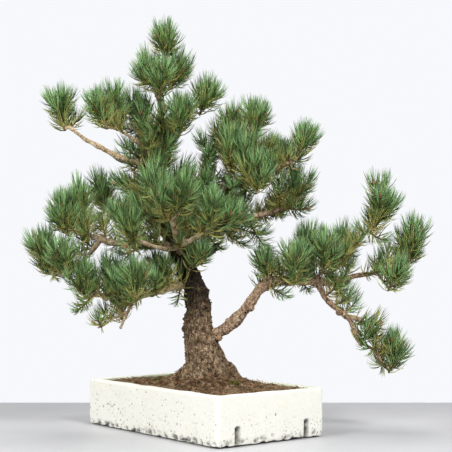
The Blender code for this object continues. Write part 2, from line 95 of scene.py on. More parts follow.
def smoothstep(low: float, high: float, value: np.ndarray) -> np.ndarray:
    """A soft step from 0 at low to 1 at high.

    Args:
        low: Where the step starts.
        high: Where the step ends.
        value: The values to pass through the step.

    Returns:
        The step's height at each value.
    """
    share = np.clip((value - low) / (high - low), 0.0, 1.0)
    return share * share * (3 - 2 * share)


def rough_field(points: np.ndarray, grain: float, octaves: int = 1, seed: float = 0.0) -> np.ndarray:
    """Smooth random values at places, about -1 to 1.

    Args:
        points: Places, one row each.
        grain: The size of a bump in metres.
        octaves: How many finer layers are added, each half as strong.
        seed: Moves the pattern.

    Returns:
        One value for each place.
    """
    shift = Vector((seed * 7.13, seed * 3.71, seed * 5.37))
    values = np.zeros(len(points))
    for octave in range(octaves):
        scale = 2**octave / grain
        layer = [noise.noise(Vector(p) * scale + shift) for p in points]
        values += np.array(layer) / 2**octave
    return values


def merged_copy(node: str) -> bpy.types.Mesh:
    """A copy of a CAD node's mesh with its loose triangles joined.

    Args:
        node: The node's name.

    Returns:
        The closed mesh.
    """
    bm = bmesh.new()
    bm.from_mesh(frame["nodes"][node].data)
    bmesh.ops.remove_doubles(bm, verts=bm.verts, dist=2e-6)
    mesh = bpy.data.meshes.new(node)
    bm.to_mesh(mesh)
    bm.free()
    return mesh


def search_tree(node: str) -> BVHTree:
    """A search tree of a CAD node's skin."""
    mesh = frame["nodes"][node].data
    return BVHTree.FromPolygons([v.co for v in mesh.vertices], [p.vertices for p in mesh.polygons])


def skin_points(mesh: bpy.types.Mesh, count: int, chance: np.random.Generator) -> list[tuple[Vector, Vector]]:
    """Random places on a mesh's skin, spread evenly over its area.

    Args:
        mesh: The mesh.
        count: How many places.
        chance: The random draws.

    Returns:
        Each place and the skin's outward direction there.
    """
    mesh.calc_loop_triangles()
    areas = np.array([triangle.area for triangle in mesh.loop_triangles])
    picks = chance.choice(len(areas), size=count, p=areas / areas.sum())
    found = []
    for pick in picks:
        triangle = mesh.loop_triangles[int(pick)]
        a, b, c = (mesh.vertices[i].co for i in triangle.vertices)
        u, v = chance.uniform(0, 1, 2)
        if u + v > 1:
            u, v = 1 - u, 1 - v
        found.append((a + (b - a) * u + (c - a) * v, triangle.normal.copy()))
    return found


def as_object(name: str, mesh: bpy.types.Mesh) -> bpy.types.Object:
    """Links a mesh into the scene as an object at the origin.

    Args:
        name: The object's name.
        mesh: Its mesh.

    Returns:
        The object.
    """
    item = bpy.data.objects.new(name, mesh)
    bpy.context.scene.collection.objects.link(item)
    return item


def settled(item: bpy.types.Object) -> bpy.types.Object:
    """Turns an object's modifiers into a plain mesh.

    Args:
        item: The object with live modifiers.

    Returns:
        The same object with its evaluated mesh and no modifiers.
    """
    graph = bpy.context.evaluated_depsgraph_get()
    shown = item.evaluated_get(graph)
    mesh = bpy.data.meshes.new_from_object(shown, preserve_all_data_layers=True, depsgraph=graph)
    item.modifiers.clear()
    item.data = mesh
    mesh.name = item.name
    return item


def reskin(item: bpy.types.Object, voxel: float) -> None:
    """Joins whatever an object's mesh is made of under one new skin.

    Args:
        item: The object.
        voxel: How fine the skin is.
    """
    skin = item.modifiers.new("skin", "REMESH")
    skin.mode = "VOXEL"
    skin.voxel_size = voxel


def place_on_model(piece: bpy.types.Object, slot: str, *nodes: str) -> None:
    """Makes a finished piece ride on the model, hides the CAD nodes that it stands for and logs its triangle
    count.

    Args:
        piece: The finished piece.
        slot: Its material slot; not used.
        nodes: The CAD nodes that it replaces, if any.
    """
    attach(piece, ROOT)
    if nodes:
        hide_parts(*nodes)
    piece.data.calc_loop_triangles()
    LOG.info("%s: %d triangles", piece.name, len(piece.data.loop_triangles))


class Graph:
    """A node tree under construction, for shaders and for geometry."""

    def __init__(self, tree: bpy.types.NodeTree) -> None:
        """Keeps the tree that the nodes go into."""
        self.tree = tree

    def node(self, kind: str, inputs: dict | None = None, **settings: object) -> bpy.types.Node:
        """Adds one node.

        Args:
            kind: The node's type.
            inputs: Socket name or number to a value or to the socket that feeds it.
            settings: The node's own properties.

        Returns:
            The new node.
        """
        made = self.tree.nodes.new(kind)
        for name, value in settings.items():
            setattr(made, name, value)
        for key, value in (inputs or {}).items():
            self.feed(made.inputs[key], value)
        return made

    def feed(self, socket: Socket, value: object) -> None:
        """Feeds one input.

        Args:
            socket: The input.
            value: The socket that feeds it, or a plain value.
        """
        if isinstance(value, Socket):
            self.tree.links.new(value, socket)
        else:
            socket.default_value = value

    def leave(self, value: Socket) -> None:
        """Sends a value out of the group that the tree makes."""
        self.tree.links.new(value, self.tree.nodes.new("NodeGroupOutput").inputs[0])

    def math(self, operation: str, a: object, b: object = 0.0, c: object = 0.0) -> Socket:
        """The result of one sum on values, which may be sockets or numbers."""
        return self.node("ShaderNodeMath", {0: a, 1: b, 2: c}, operation=operation).outputs[0]

    def vector_math(self, operation: str, a: object, b: object = (0.0, 0.0, 0.0)) -> Socket:
        """The result of one sum on vectors, which may be sockets or numbers."""
        return self.node("ShaderNodeVectorMath", {0: a, 1: b}, operation=operation).outputs[0]

    def scaled(self, vector: object, share: object) -> Socket:
        """A vector times a value."""
        return self.node("ShaderNodeVectorMath", {0: vector, "Scale": share}, operation="SCALE").outputs[0]

    def vector(self, x: object = 0.0, y: object = 0.0, z: object = 0.0) -> Socket:
        """A vector from three values."""
        return self.node("ShaderNodeCombineXYZ", {0: x, 1: y, 2: z}).outputs[0]

    def spread(
        self, value: object, low: object, high: object, to_low: object = 0.0, to_high: object = 1.0
    ) -> Socket:
        """A value moved from one range to another, clamped to it."""
        return self.node("ShaderNodeMapRange", {0: value, 1: low, 2: high, 3: to_low, 4: to_high}).outputs[0]

    def height(self, vector: object) -> Socket:
        """The upward part of a vector."""
        return self.node("ShaderNodeSeparateXYZ", {0: vector}).outputs[2]

    def mixed(self, share: object, first: object, second: object) -> Socket:
        """Two colours blended by a share."""
        return self.node("ShaderNodeMix", {0: share, 6: first, 7: second}, data_type="RGBA").outputs[2]

    def lit(self, colour: object, value: object) -> Socket:
        """A colour made darker or brighter by a factor."""
        return self.node("ShaderNodeHueSaturation", {"Value": value, "Color": colour}).outputs[0]

    def ramp(self, value: object, stops: list[tuple[float, Colour]]) -> Socket:
        """A colour read from a row of colour stops.

        Args:
            value: Where the row is read.
            stops: Each stop's position and colour.

        Returns:
            The colour.
        """
        made = self.node("ShaderNodeValToRGB", {0: value})
        elements = made.color_ramp.elements
        while len(elements) < len(stops):
            elements.new(0.5)
        for element, (position, colour) in zip(elements, stops):
            element.position = position
            element.color = colour
        return made.outputs[0]

    def noise(self, vector: object, scale: object, detail: float = 3.0, rough: float = 0.55) -> Socket:
        """Cloudy values from 0 to 1."""
        inputs = {"Vector": vector, "Scale": scale, "Detail": detail, "Roughness": rough}
        return self.node("ShaderNodeTexNoise", inputs).outputs[0]

    def clouds(self, vector: object, scale: float, detail: float) -> Socket:
        """Random vectors that drift from place to place, about -0.5 to 0.5 a side."""
        inputs = {"Vector": vector, "Scale": scale, "Detail": detail}
        drift = self.node("ShaderNodeTexNoise", inputs).outputs[1]
        return self.vector_math("SUBTRACT", drift, (0.5, 0.5, 0.5))

    def cells(self, vector: object, scale: float) -> Socket:
        """How far each place lies from the nearest of many scattered points."""
        return self.node("ShaderNodeTexVoronoi", {"Vector": vector, "Scale": scale}).outputs[0]

    def carried(self, name: str) -> Socket:
        """A named value that the mesh carries, in material trees."""
        return self.node("ShaderNodeAttribute", attribute_name=name).outputs["Fac"]

    def place(self) -> Socket:
        """Places in the object's own frame, in material trees."""
        return self.node("ShaderNodeTexCoord").outputs["Object"]


class GeometryGraph(Graph):
    """A geometry tree under construction."""

    def random(self, low: object, high: object, seed: object, step: int = 0) -> Socket:
        """A random value for each element.

        Args:
            low: The least value.
            high: The greatest value.
            seed: The piece's seed.
            step: What is added to the seed, so that each use of it draws its own values.

        Returns:
            The value.
        """
        drawn = self.math("ADD", seed, step) if step else seed
        return self.node("FunctionNodeRandomValue", {2: low, 3: high, 8: drawn}, data_type="FLOAT").outputs[1]

    def attribute(self, name: str, kind: str = "FLOAT") -> Socket:
        """A named value that the geometry carries."""
        return self.node("GeometryNodeInputNamedAttribute", {0: name}, data_type=kind).outputs[0]

    def stored(
        self, geometry: object, name: str, value: object, kind: str = "FLOAT", domain: str = "POINT"
    ) -> Socket:
        """The geometry with a named value stored on it."""
        inputs = {"Geometry": geometry, "Name": name, "Value": value}
        return self.node("GeometryNodeStoreNamedAttribute", inputs, data_type=kind, domain=domain).outputs[0]

    def moved(self, geometry: object, offset: object) -> Socket:
        """The geometry with each point moved."""
        return self.node("GeometryNodeSetPosition", {"Geometry": geometry, "Offset": offset}).outputs[0]

    def smooth(self, geometry: object) -> Socket:
        """The geometry with smooth shading."""
        return self.node("GeometryNodeSetShadeSmooth", {0: geometry, 2: True}).outputs[0]

    def facing(self, vector: object) -> Socket:
        """The rotation that points the upward axis along a vector."""
        return self.node("FunctionNodeAlignRotationToVector", {"Vector": vector}, axis="Z").outputs[0]

    def turned(self, rotation: object, axis: object, angle: object) -> Socket:
        """A rotation with one more turn, about its own axis."""
        turn = self.node("FunctionNodeAxisAngleToRotation", {"Axis": axis, "Angle": angle}).outputs[0]
        return self.joined_turns(rotation, turn)

    def joined_turns(self, rotation: object, turn: object) -> Socket:
        """A rotation followed by another in its own frame."""
        inputs = {0: rotation, 1: turn}
        return self.node("FunctionNodeRotateRotation", inputs, rotation_space="LOCAL").outputs[0]

    def straight(self, start: tuple, end: tuple, count: int) -> tuple[Socket, Socket]:
        """A straight line of evenly spaced points.

        Args:
            start: Where it starts.
            end: Where it ends.
            count: How many points it has.

        Returns:
            The line, and how far along it each point lies, from 0 to 1.
        """
        line = self.node("GeometryNodeCurvePrimitiveLine", {0: start, 1: end}).outputs[0]
        line = self.node("GeometryNodeResampleCurve", {"Curve": line, "Count": count}).outputs[0]
        return line, self.node("GeometryNodeSplineParameter").outputs[0]

    def ring(self, sides: int, radius: float) -> Socket:
        """A many-sided ring."""
        inputs = {"Resolution": sides, "Radius": radius}
        return self.node("GeometryNodeCurvePrimitiveCircle", inputs).outputs[0]

    def tube(self, line: object, ring: object, girth: object = 1.0) -> Socket:
        """A closed tube: a ring drawn along a line."""
        inputs = {"Curve": line, "Profile Curve": ring, "Scale": girth, "Fill Caps": True}
        return self.node("GeometryNodeCurveToMesh", inputs).outputs[0]

    def pebble(self, radius: float, shape: tuple[float, float, float]) -> Socket:
        """A ball of twenty faces, pressed into shape."""
        ball = self.node("GeometryNodeMeshIcoSphere", {"Radius": radius, "Subdivisions": 1}).outputs[0]
        return self.node("GeometryNodeTransform", {"Geometry": ball, "Scale": shape}).outputs[0]

    def spots(self, skin: object, density: object, seed: object, chosen: object = True) -> bpy.types.Node:
        """Points scattered over the chosen part of a skin."""
        inputs = {"Mesh": skin, "Selection": chosen, "Density": density, "Seed": seed}
        return self.node("GeometryNodeDistributePointsOnFaces", inputs)

    def copies(self, points: object, shape: object, rotation: object, size: object) -> Socket:
        """Copies of a shape on points, each with its own turn and size."""
        scale = self.vector(size, size, size)
        inputs = {"Points": points, "Instance": shape, "Rotation": rotation, "Scale": scale}
        return self.node("GeometryNodeInstanceOnPoints", inputs).outputs[0]


class GeometryRecipe:
    """A geometry node tree with named inputs that ends in Realize Instances and Set Material."""

    def __init__(self, name: str) -> None:
        """Starts a tree that takes and gives a geometry.

        Args:
            name: The tree's name.
        """
        self.tree = bpy.data.node_groups.new(name, "GeometryNodeTree")
        self.tree.interface.new_socket("Geometry", in_out="INPUT", socket_type="NodeSocketGeometry")
        self.tree.interface.new_socket("Geometry", in_out="OUTPUT", socket_type="NodeSocketGeometry")
        self.graph = GeometryGraph(self.tree)
        self.entry = self.tree.nodes.new("NodeGroupInput")
        self.taken = self.entry.outputs[0]
        self.identifiers: dict[str, str] = {}

    def size(self, name: str, kind: str = "NodeSocketFloat") -> Socket:
        """Adds a named input.

        Args:
            name: The input's name.
            kind: The input's socket type.

        Returns:
            The socket that gives the input's value inside the tree.
        """
        made = self.tree.interface.new_socket(name, in_out="INPUT", socket_type=kind)
        self.identifiers[name] = made.identifier
        return self.entry.outputs[name]

    def close(self, geometry: Socket) -> None:
        """Ends the tree: instances become real, the material is set, and the geometry goes out.

        Args:
            geometry: The finished geometry.
        """
        material = self.size("Finish", "NodeSocketMaterial")
        real = self.graph.node("GeometryNodeRealizeInstances", {0: geometry}).outputs[0]
        dressed = self.graph.node("GeometryNodeSetMaterial", {0: real, "Material": material}).outputs[0]
        self.graph.leave(dressed)

    def grow(self, item: bpy.types.Object, **sizes: object) -> bpy.types.Object:
        """Runs the tree on an object.

        Args:
            item: The object whose mesh the tree takes.
            sizes: Input name, with _ for a space, to its value.

        Returns:
            The object with the tree's result as its plain mesh.
        """
        modifier = item.modifiers.new(self.tree.name, "NODES")
        modifier.node_group = self.tree
        for name, value in sizes.items():
            modifier[self.identifiers[name.replace("_", " ")]] = value
        return settled(item)


# ---- finishes --------------------------------------------------------------------------------------------

def new_material(name: str) -> tuple[bpy.types.Material, Graph, bpy.types.Node]:
    """A material with only its shader.

    Args:
        name: The material's name.

    Returns:
        The material, its graph and its Principled shader.
    """
    material = bpy.data.materials.new(name)
    material.use_nodes = True
    shader = material.node_tree.nodes["Principled BSDF"]
    return material, Graph(material.node_tree), shader


def wire(graph: Graph, shader: bpy.types.Node, **feeds: object) -> None:
    """Feeds sockets of the shader, named with _ for a space, from sockets or plain values."""
    for name, value in feeds.items():
        graph.feed(shader.inputs[name.replace("_", " ")], value)


class SharedEffects:
    """Shader groups that several finishes place with their own values."""

    def __init__(self) -> None:
        """Builds each group once."""
        self.patches = self._patches()
        self.relief = self._relief()

    @staticmethod
    def _open(name: str, sizes: dict[str, float], result: str) -> tuple[Graph, Socket, list[Socket]]:
        """Starts a shader group that takes a vector and named sizes and gives one value.

        Args:
            name: The group's name.
            sizes: Each size's name and usual value.
            result: The name of what the group gives.

        Returns:
            The group's graph, its vector and its sizes.
        """
        tree = bpy.data.node_groups.new(name, "ShaderNodeTree")
        tree.interface.new_socket("Vector", in_out="INPUT", socket_type="NodeSocketVector")
        for label, value in sizes.items():
            made = tree.interface.new_socket(label, in_out="INPUT", socket_type="NodeSocketFloat")
            made.default_value = value
        tree.interface.new_socket(result, in_out="OUTPUT", socket_type="NodeSocketFloat")
        entry = tree.nodes.new("NodeGroupInput")
        return Graph(tree), entry.outputs["Vector"], [entry.outputs[label] for label in sizes]

    def _patches(self) -> bpy.types.NodeTree:
        """Builds irregular patches: a mask that covers a share of the surface.

        Returns:
            The group.
        """
        graph, where, sizes = self._open("patches", {"Size": 0.02, "Cover": 0.4, "Edge": 0.1}, "Mask")
        size, cover, edge = sizes
        cloud = graph.noise(where, graph.math("DIVIDE", 1.0, size), 5.0, 0.62)
        start = graph.math("SUBTRACT", 0.75, graph.math("MULTIPLY", cover, 0.5))
        graph.leave(graph.spread(cloud, start, graph.math("ADD", start, edge)))
        return graph.tree

    def _relief(self) -> bpy.types.NodeTree:
        """Builds fine surface height from two grains, for bump.

        Returns:
            The group.
        """
        graph, where, grains = self._open("fine_relief", {"Coarse": 0.004, "Fine": 0.001}, "Height")
        coarse = graph.noise(where, graph.math("DIVIDE", 1.0, grains[0]), 3.0)
        fine = graph.noise(where, graph.math("DIVIDE", 1.0, grains[1]), 2.0)
        graph.leave(graph.math("MULTIPLY_ADD", fine, 0.45, coarse))
        return graph.tree

    def patch_mask(self, graph: Graph, vector: object, size: float, cover: float, edge: float) -> Socket:
        """Places the patches group in a material and gives its mask."""
        inputs = {"Vector": vector, "Size": size, "Cover": cover, "Edge": edge}
        return graph.node("ShaderNodeGroup", inputs, node_tree=self.patches).outputs["Mask"]

    def bump(self, graph: Graph, vector: object, coarse: float, fine: float, depth: float) -> Socket:
        """Gives a material the bumped normal of the relief group.

        Args:
            graph: The material's graph.
            vector: Places in the object's own frame.
            coarse: The size of the coarse grain.
            fine: The size of the fine grain.
            depth: How deep the grain is.

        Returns:
            The normal.
        """
        inputs = {"Vector": vector, "Coarse": coarse, "Fine": fine}
        height = graph.node("ShaderNodeGroup", inputs, node_tree=self.relief).outputs["Height"]
        return graph.node("ShaderNodeBump", {"Strength": 1.0, "Distance": depth, "Height": height}).outputs[0]


@dataclass(frozen=True)
class NeedleFinish:
    """Waxy needles. Each reads one column of a palette, from old and yellow to young and blue-green, and each
    column is darker or brighter at random: partly the needles' own tone, partly painted shade and painted
    highlight.
    """

    name: str = "pine needles"
    columns: int = 24
    sheath: Colour = tint(158, 136, 84)
    old: Colour = tint(170, 158, 84)
    mature: Colour = tint(106, 143, 76)
    young: Colour = tint(134, 176, 116)
    old_tip: Colour = tint(180, 170, 104)
    mature_tip: Colour = tint(122, 157, 94)
    young_tip: Colour = tint(152, 188, 138)
    mature_from: float = 0.38
    darkest_tone_and_shade: float = 0.26
    brightest_tone_and_highlight: float = 1.70
    roughness: float = 0.42

    def material(self, effects: SharedEffects) -> bpy.types.Material:
        """Builds the material from the needle's own palette place: column across, base to tip up.

        Args:
            effects: The shared shader groups; not used.

        Returns:
            The material.
        """
        material, graph, shader = new_material(self.name)
        place = graph.node("ShaderNodeUVMap", uv_map=PALETTE_UV).outputs[0]
        across, along, _ = graph.node("ShaderNodeSeparateXYZ", {0: place}).outputs
        column = graph.math("FLOOR", graph.math("MULTIPLY", across, float(self.columns)))
        column = graph.math("DIVIDE", column, float(self.columns))
        middle = self.mature_from
        body = graph.ramp(column, [(0.0, self.old), (middle, self.mature), (1.0, self.young)])
        tip = graph.ramp(column, [(0.0, self.old_tip), (middle, self.mature_tip), (1.0, self.young_tip)])
        colour = graph.mixed(graph.spread(along, 0.35, 1.0), body, tip)
        colour = graph.mixed(graph.spread(along, 0.02, 0.16, 1.0, 0.0), colour, self.sheath)
        # Each column is darker or brighter at random: the needles' own tone, widened into painted shade and
        # painted highlight.
        inputs = {"W": graph.math("MULTIPLY", column, 91.7)}
        tone_and_shade_lottery = graph.node("ShaderNodeTexWhiteNoise", inputs, noise_dimensions="1D").outputs[0]
        shaded = graph.lit(colour, graph.spread(tone_and_shade_lottery, 0.0, 1.0, self.darkest_tone_and_shade, self.brightest_tone_and_highlight))
        wire(graph, shader, Base_Color=shaded, Roughness=self.roughness, Specular_IOR_Level=0.4)
        return material


class BarkAge(Enum):
    """How old a stretch of wood is, which sets its bark's colours."""

    TRUNK = "old plated bark"
    LIMB = "flaking limb bark"
    TWIG = "young twig bark"


@dataclass(frozen=True)
class BarkFinish:
    """Pine bark: dark cracks, paler plates, and patches where plates have fallen or moss has taken hold. On
    the trunk's middle, painted shade stands in for the canopy's shadow; higher up the bark turns lighter.
    """

    age: BarkAge
    crack: Colour
    plate: Colour
    light_plate: Colour
    fallen: Colour
    moss: Colour
    moss_cover: float
    fallen_cover: float
    # Heights over which painted shade, the canopy's shadow on the trunk, darkens the bark down to
    # upper_shade.
    canopy_shade_heights: tuple[float, float] = (0.180, 0.222)
    # Heights over which that painted shade lifts and the bark turns lighter, up to leader_shade.
    shade_lift_heights: tuple[float, float] = (0.46, 0.53)
    upper_shade: float = 1.0
    leader_shade: float = 1.3
    fallen_size: float = 0.012
    moss_size: float = 0.016
    stops: tuple[float, float, float] = (0.22, 0.52, 0.98)

    def material(self, effects: SharedEffects) -> bpy.types.Material:
        """Builds the material from the crack depth that the mesh carries and from the object's own places.

        Args:
            effects: The shared shader groups.

        Returns:
            The material.
        """
        material, graph, shader = new_material(self.age.value)
        where = graph.place()
        grain = graph.math("SUBTRACT", graph.noise(where, 520.0, 4.0, 0.7), 0.5)
        worn = graph.math("MULTIPLY_ADD", grain, 0.7, graph.carried("crack"))
        colour = graph.ramp(worn, list(zip(self.stops, (self.crack, self.plate, self.light_plate))))
        fallen = effects.patch_mask(graph, where, self.fallen_size, self.fallen_cover, 0.07)
        fallen = graph.math("MULTIPLY", fallen, graph.spread(worn, 0.3, 0.5))
        colour = graph.mixed(fallen, colour, self.fallen)
        # Painted shade: darker from the lower heights up, where the canopy shadows the trunk, then lighter
        # towards the top.
        height = graph.height(where)
        shade = graph.math(
            "MAXIMUM",
            graph.spread(height, *self.canopy_shade_heights, 1.0, self.upper_shade),
            graph.spread(height, *self.shade_lift_heights, self.upper_shade, self.leader_shade),
        )
        colour = graph.lit(colour, shade)
        mossy = effects.patch_mask(graph, where, self.moss_size, self.moss_cover, 0.12)
        speckle = graph.spread(graph.noise(where, 900.0, 2.0), 0.45, 0.6)
        colour = graph.mixed(graph.math("MULTIPLY", mossy, speckle), colour, self.moss)
        normal = effects.bump(graph, where, 0.0028, 0.0009, 0.0007)
        wire(graph, shader, Base_Color=colour, Roughness=0.9, Specular_IOR_Level=0.25, Normal=normal)
        return material


@dataclass(frozen=True)
class BudFinish:
    """Resinous winter buds, red-brown with pale scale edges."""

    dark: Colour = tint(112, 66, 42)
    light: Colour = tint(176, 124, 88)
    scales: float = 900.0

    def material(self, effects: SharedEffects) -> bpy.types.Material:
        """Builds the material with small scales.

        Args:
            effects: The shared shader groups; not used.

        Returns:
            The material.
        """
        material, graph, shader = new_material("winter buds")
        scales = graph.cells(graph.place(), self.scales)
        colour = graph.mixed(graph.spread(scales, 0.1, 0.6), self.dark, self.light)
        wire(graph, shader, Base_Color=colour, Roughness=0.45)
        return material


@dataclass(frozen=True)
class TroughFinish:
    """Cream-white cast trough mix with dirt at its foot, dark pocks, painted shade with soil dust in its
    drain slots, lime tints and algae on the inside.
    """

    fresh: Colour = tint(245, 244, 234)
    warm: Colour = tint(238, 233, 208)
    green: Colour = tint(206, 214, 160)
    # Dark brown for dirt at the foot, the dark pocks and scratch, and painted shade with soil dust in the
    # drain slots.
    grime: Colour = tint(52, 46, 34)
    pepper: Colour = tint(56, 50, 38)
    algae: Colour = tint(150, 162, 96)
    small_specks: float = 230.0
    large_specks: float = 82.0
    speck_height: float = 0.07

    def material(self, effects: SharedEffects) -> bpy.types.Material:
        """Builds the material from the dirt, dark pocks and painted slot shade that the mesh carries.

        Args:
            effects: The shared shader groups.

        Returns:
            The material.
        """
        material, graph, shader = new_material("cast trough mix")
        where = graph.place()
        tinted = effects.patch_mask(graph, where, 0.05, 0.42, 0.3)
        colour = graph.mixed(graph.math("MULTIPLY", tinted, 0.8), self.fresh, self.warm)
        lime = effects.patch_mask(graph, where, 0.035, 0.22, 0.25)
        colour = graph.mixed(graph.math("MULTIPLY", lime, 0.6), colour, self.green)
        colour = graph.lit(colour, graph.spread(graph.noise(where, 420.0, 4.0, 0.7), 0.3, 0.7, 0.93, 1.03))
        inner = graph.carried("inside")
        overgrown = graph.math("MULTIPLY", inner, effects.patch_mask(graph, where, 0.03, 0.75, 0.3))
        colour = graph.mixed(graph.math("MULTIPLY", overgrown, 0.8), colour, self.algae)
        specks = graph.math("MULTIPLY", self._specks(graph, effects, where), 0.95)
        colour = graph.mixed(specks, colour, self.pepper)
        # Dirt at the foot, dark pocks and scratch, and painted shade with soil dust in the drain slots.
        colour = graph.mixed(graph.carried("grime"), colour, self.grime)
        normal = effects.bump(graph, where, 0.0022, 0.0007, 0.0004)
        wire(graph, shader, Base_Color=colour, Roughness=0.88, Specular_IOR_Level=0.3, Normal=normal)
        return material

    def _specks(self, graph: Graph, effects: SharedEffects, where: Socket) -> Socket:
        """Ragged dark specks of two sizes, in patches and mostly near the foot.

        Args:
            graph: The material's graph.
            effects: The shared shader groups.
            where: Places in the object's own frame.

        Returns:
            Where the specks are, from 0 to 1.
        """
        ragged = graph.vector_math("ADD", where, graph.scaled(graph.clouds(where, 700.0, 3.0), 0.0035))
        small = graph.spread(graph.cells(ragged, self.small_specks), 0.16, 0.24, 1.0, 0.0)
        large = graph.spread(graph.cells(ragged, self.large_specks), 0.11, 0.15, 1.0, 0.0)
        low = graph.spread(graph.height(where), 0.0, self.speck_height, 1.0, 0.0)
        area = graph.math("MULTIPLY", effects.patch_mask(graph, where, 0.03, 0.70, 0.2), low)
        return graph.math("MULTIPLY", graph.math("MAXIMUM", small, large), area)


@dataclass(frozen=True)
class MottledFinish:
    """A matte surface that drifts among three colours, for soil, moss, litter and chips."""

    name: str
    dark: Colour
    middle: Colour
    light: Colour
    grain: float
    roughness: float = 1.0

    def material(self, effects: SharedEffects) -> bpy.types.Material:
        """Builds the material from clouds at the grain size and a finer layer over them.

        Args:
            effects: The shared shader groups.

        Returns:
            The material.
        """
        material, graph, shader = new_material(self.name)
        where = graph.place()
        cloud = graph.noise(where, 1 / self.grain, 4.0, 0.65)
        colour = graph.ramp(cloud, [(0.34, self.dark), (0.52, self.middle), (0.68, self.light)])
        flecks = graph.spread(graph.noise(where, 4 / self.grain, 2.0), 0.3, 0.7, 0.75, 1.2)
        normal = effects.bump(graph, where, self.grain / 2, self.grain / 8, self.grain / 8)
        wire(graph, shader, Base_Color=graph.lit(colour, flecks), Normal=normal)
        wire(graph, shader, Roughness=self.roughness, Specular_IOR_Level=0.2)
        return material


BARKS = (
    # The trunk's bark is darkened to 0.17 by painted shade, the canopy's shadow, on its middle.
    BarkFinish(
        BarkAge.TRUNK, tint(34, 25, 18), tint(96, 76, 56), tint(184, 160, 132),
        tint(204, 120, 92), tint(120, 118, 66), 0.40, 0.20, upper_shade=0.17,
    ),
    BarkFinish(
        BarkAge.LIMB, tint(66, 50, 38), tint(140, 113, 90), tint(212, 190, 164),
        tint(184, 128, 88), tint(138, 130, 102), 0.30, 0.28,
    ),
    BarkFinish(
        BarkAge.TWIG, tint(104, 84, 60), tint(170, 150, 118), tint(208, 192, 162),
        tint(160, 122, 84), tint(134, 134, 90), 0.22, 0.25,
    ),
)

SOIL = MottledFinish("damp soil", tint(40, 30, 21), tint(80, 61, 44), tint(116, 92, 69), 0.006)
LITTER = MottledFinish("dry needle litter", tint(86, 64, 46), tint(146, 120, 90), tint(204, 180, 148), 0.012)
CHIPS = MottledFinish("bark chips and grit", tint(66, 48, 34), tint(132, 92, 62), tint(196, 126, 78), 0.008)
LOOSE = MottledFinish("loose bark", tint(56, 44, 32), tint(106, 86, 64), tint(182, 160, 134), 0.010)
MOSS = MottledFinish("cushion moss", tint(72, 62, 34), tint(106, 100, 50), tint(150, 138, 84), 0.004)


@dataclass
class Finishes:
    """Every material of the object, built once."""

    effects: SharedEffects = field(default_factory=SharedEffects)

    def __post_init__(self) -> None:
        """Builds the materials."""
        self.needles = NeedleFinish().material(self.effects)
        self.buds = BudFinish().material(self.effects)
        self.trough = TroughFinish().material(self.effects)
        self.bark = {finish.age: finish.material(self.effects) for finish in BARKS}
        self.soil = SOIL.material(self.effects)
        self.litter = LITTER.material(self.effects)
        self.chips = CHIPS.material(self.effects)
        self.loose_bark = LOOSE.material(self.effects)
        self.moss = MOSS.material(self.effects)


# ---- wood ------------------------------------------------------------------------------------------------

@dataclass(frozen=True)
class BarkShape:
    """The sizes that give smooth wood its bark: the skin's fineness, its plates and how deep they are cut."""

    voxel: float
    smoothing: int
    plate: float
    relief: float
    swell: float
    stretch: float
    bulge: float


OLD_WOOD = BarkShape(0.00135, 6, 0.0058, 0.0034, 0.0010, 0.5, 5.2)
YOUNG_WOOD = BarkShape(0.00095, 3, 0.0075, 0.0021, 0.0007, 0.8, 3.6)

OLDER_LIMBS = {"lower_right_branch", "upper_right_branch", "middle_right_branch"}


@dataclass(frozen=True)
class Knots:
    """How many knots and healed stubs a piece of wood has, and how large they are."""

    count: int = 0
    size: float = 0.0


KNOTS = {
    "trunk": Knots(9, 0.0085),
    "lower_right_branch": Knots(22, 0.0056),
    "upper_right_branch": Knots(8, 0.0042),
    "lower_left_branch": Knots(8, 0.0040),
    "front_branch": Knots(6, 0.0036),
}


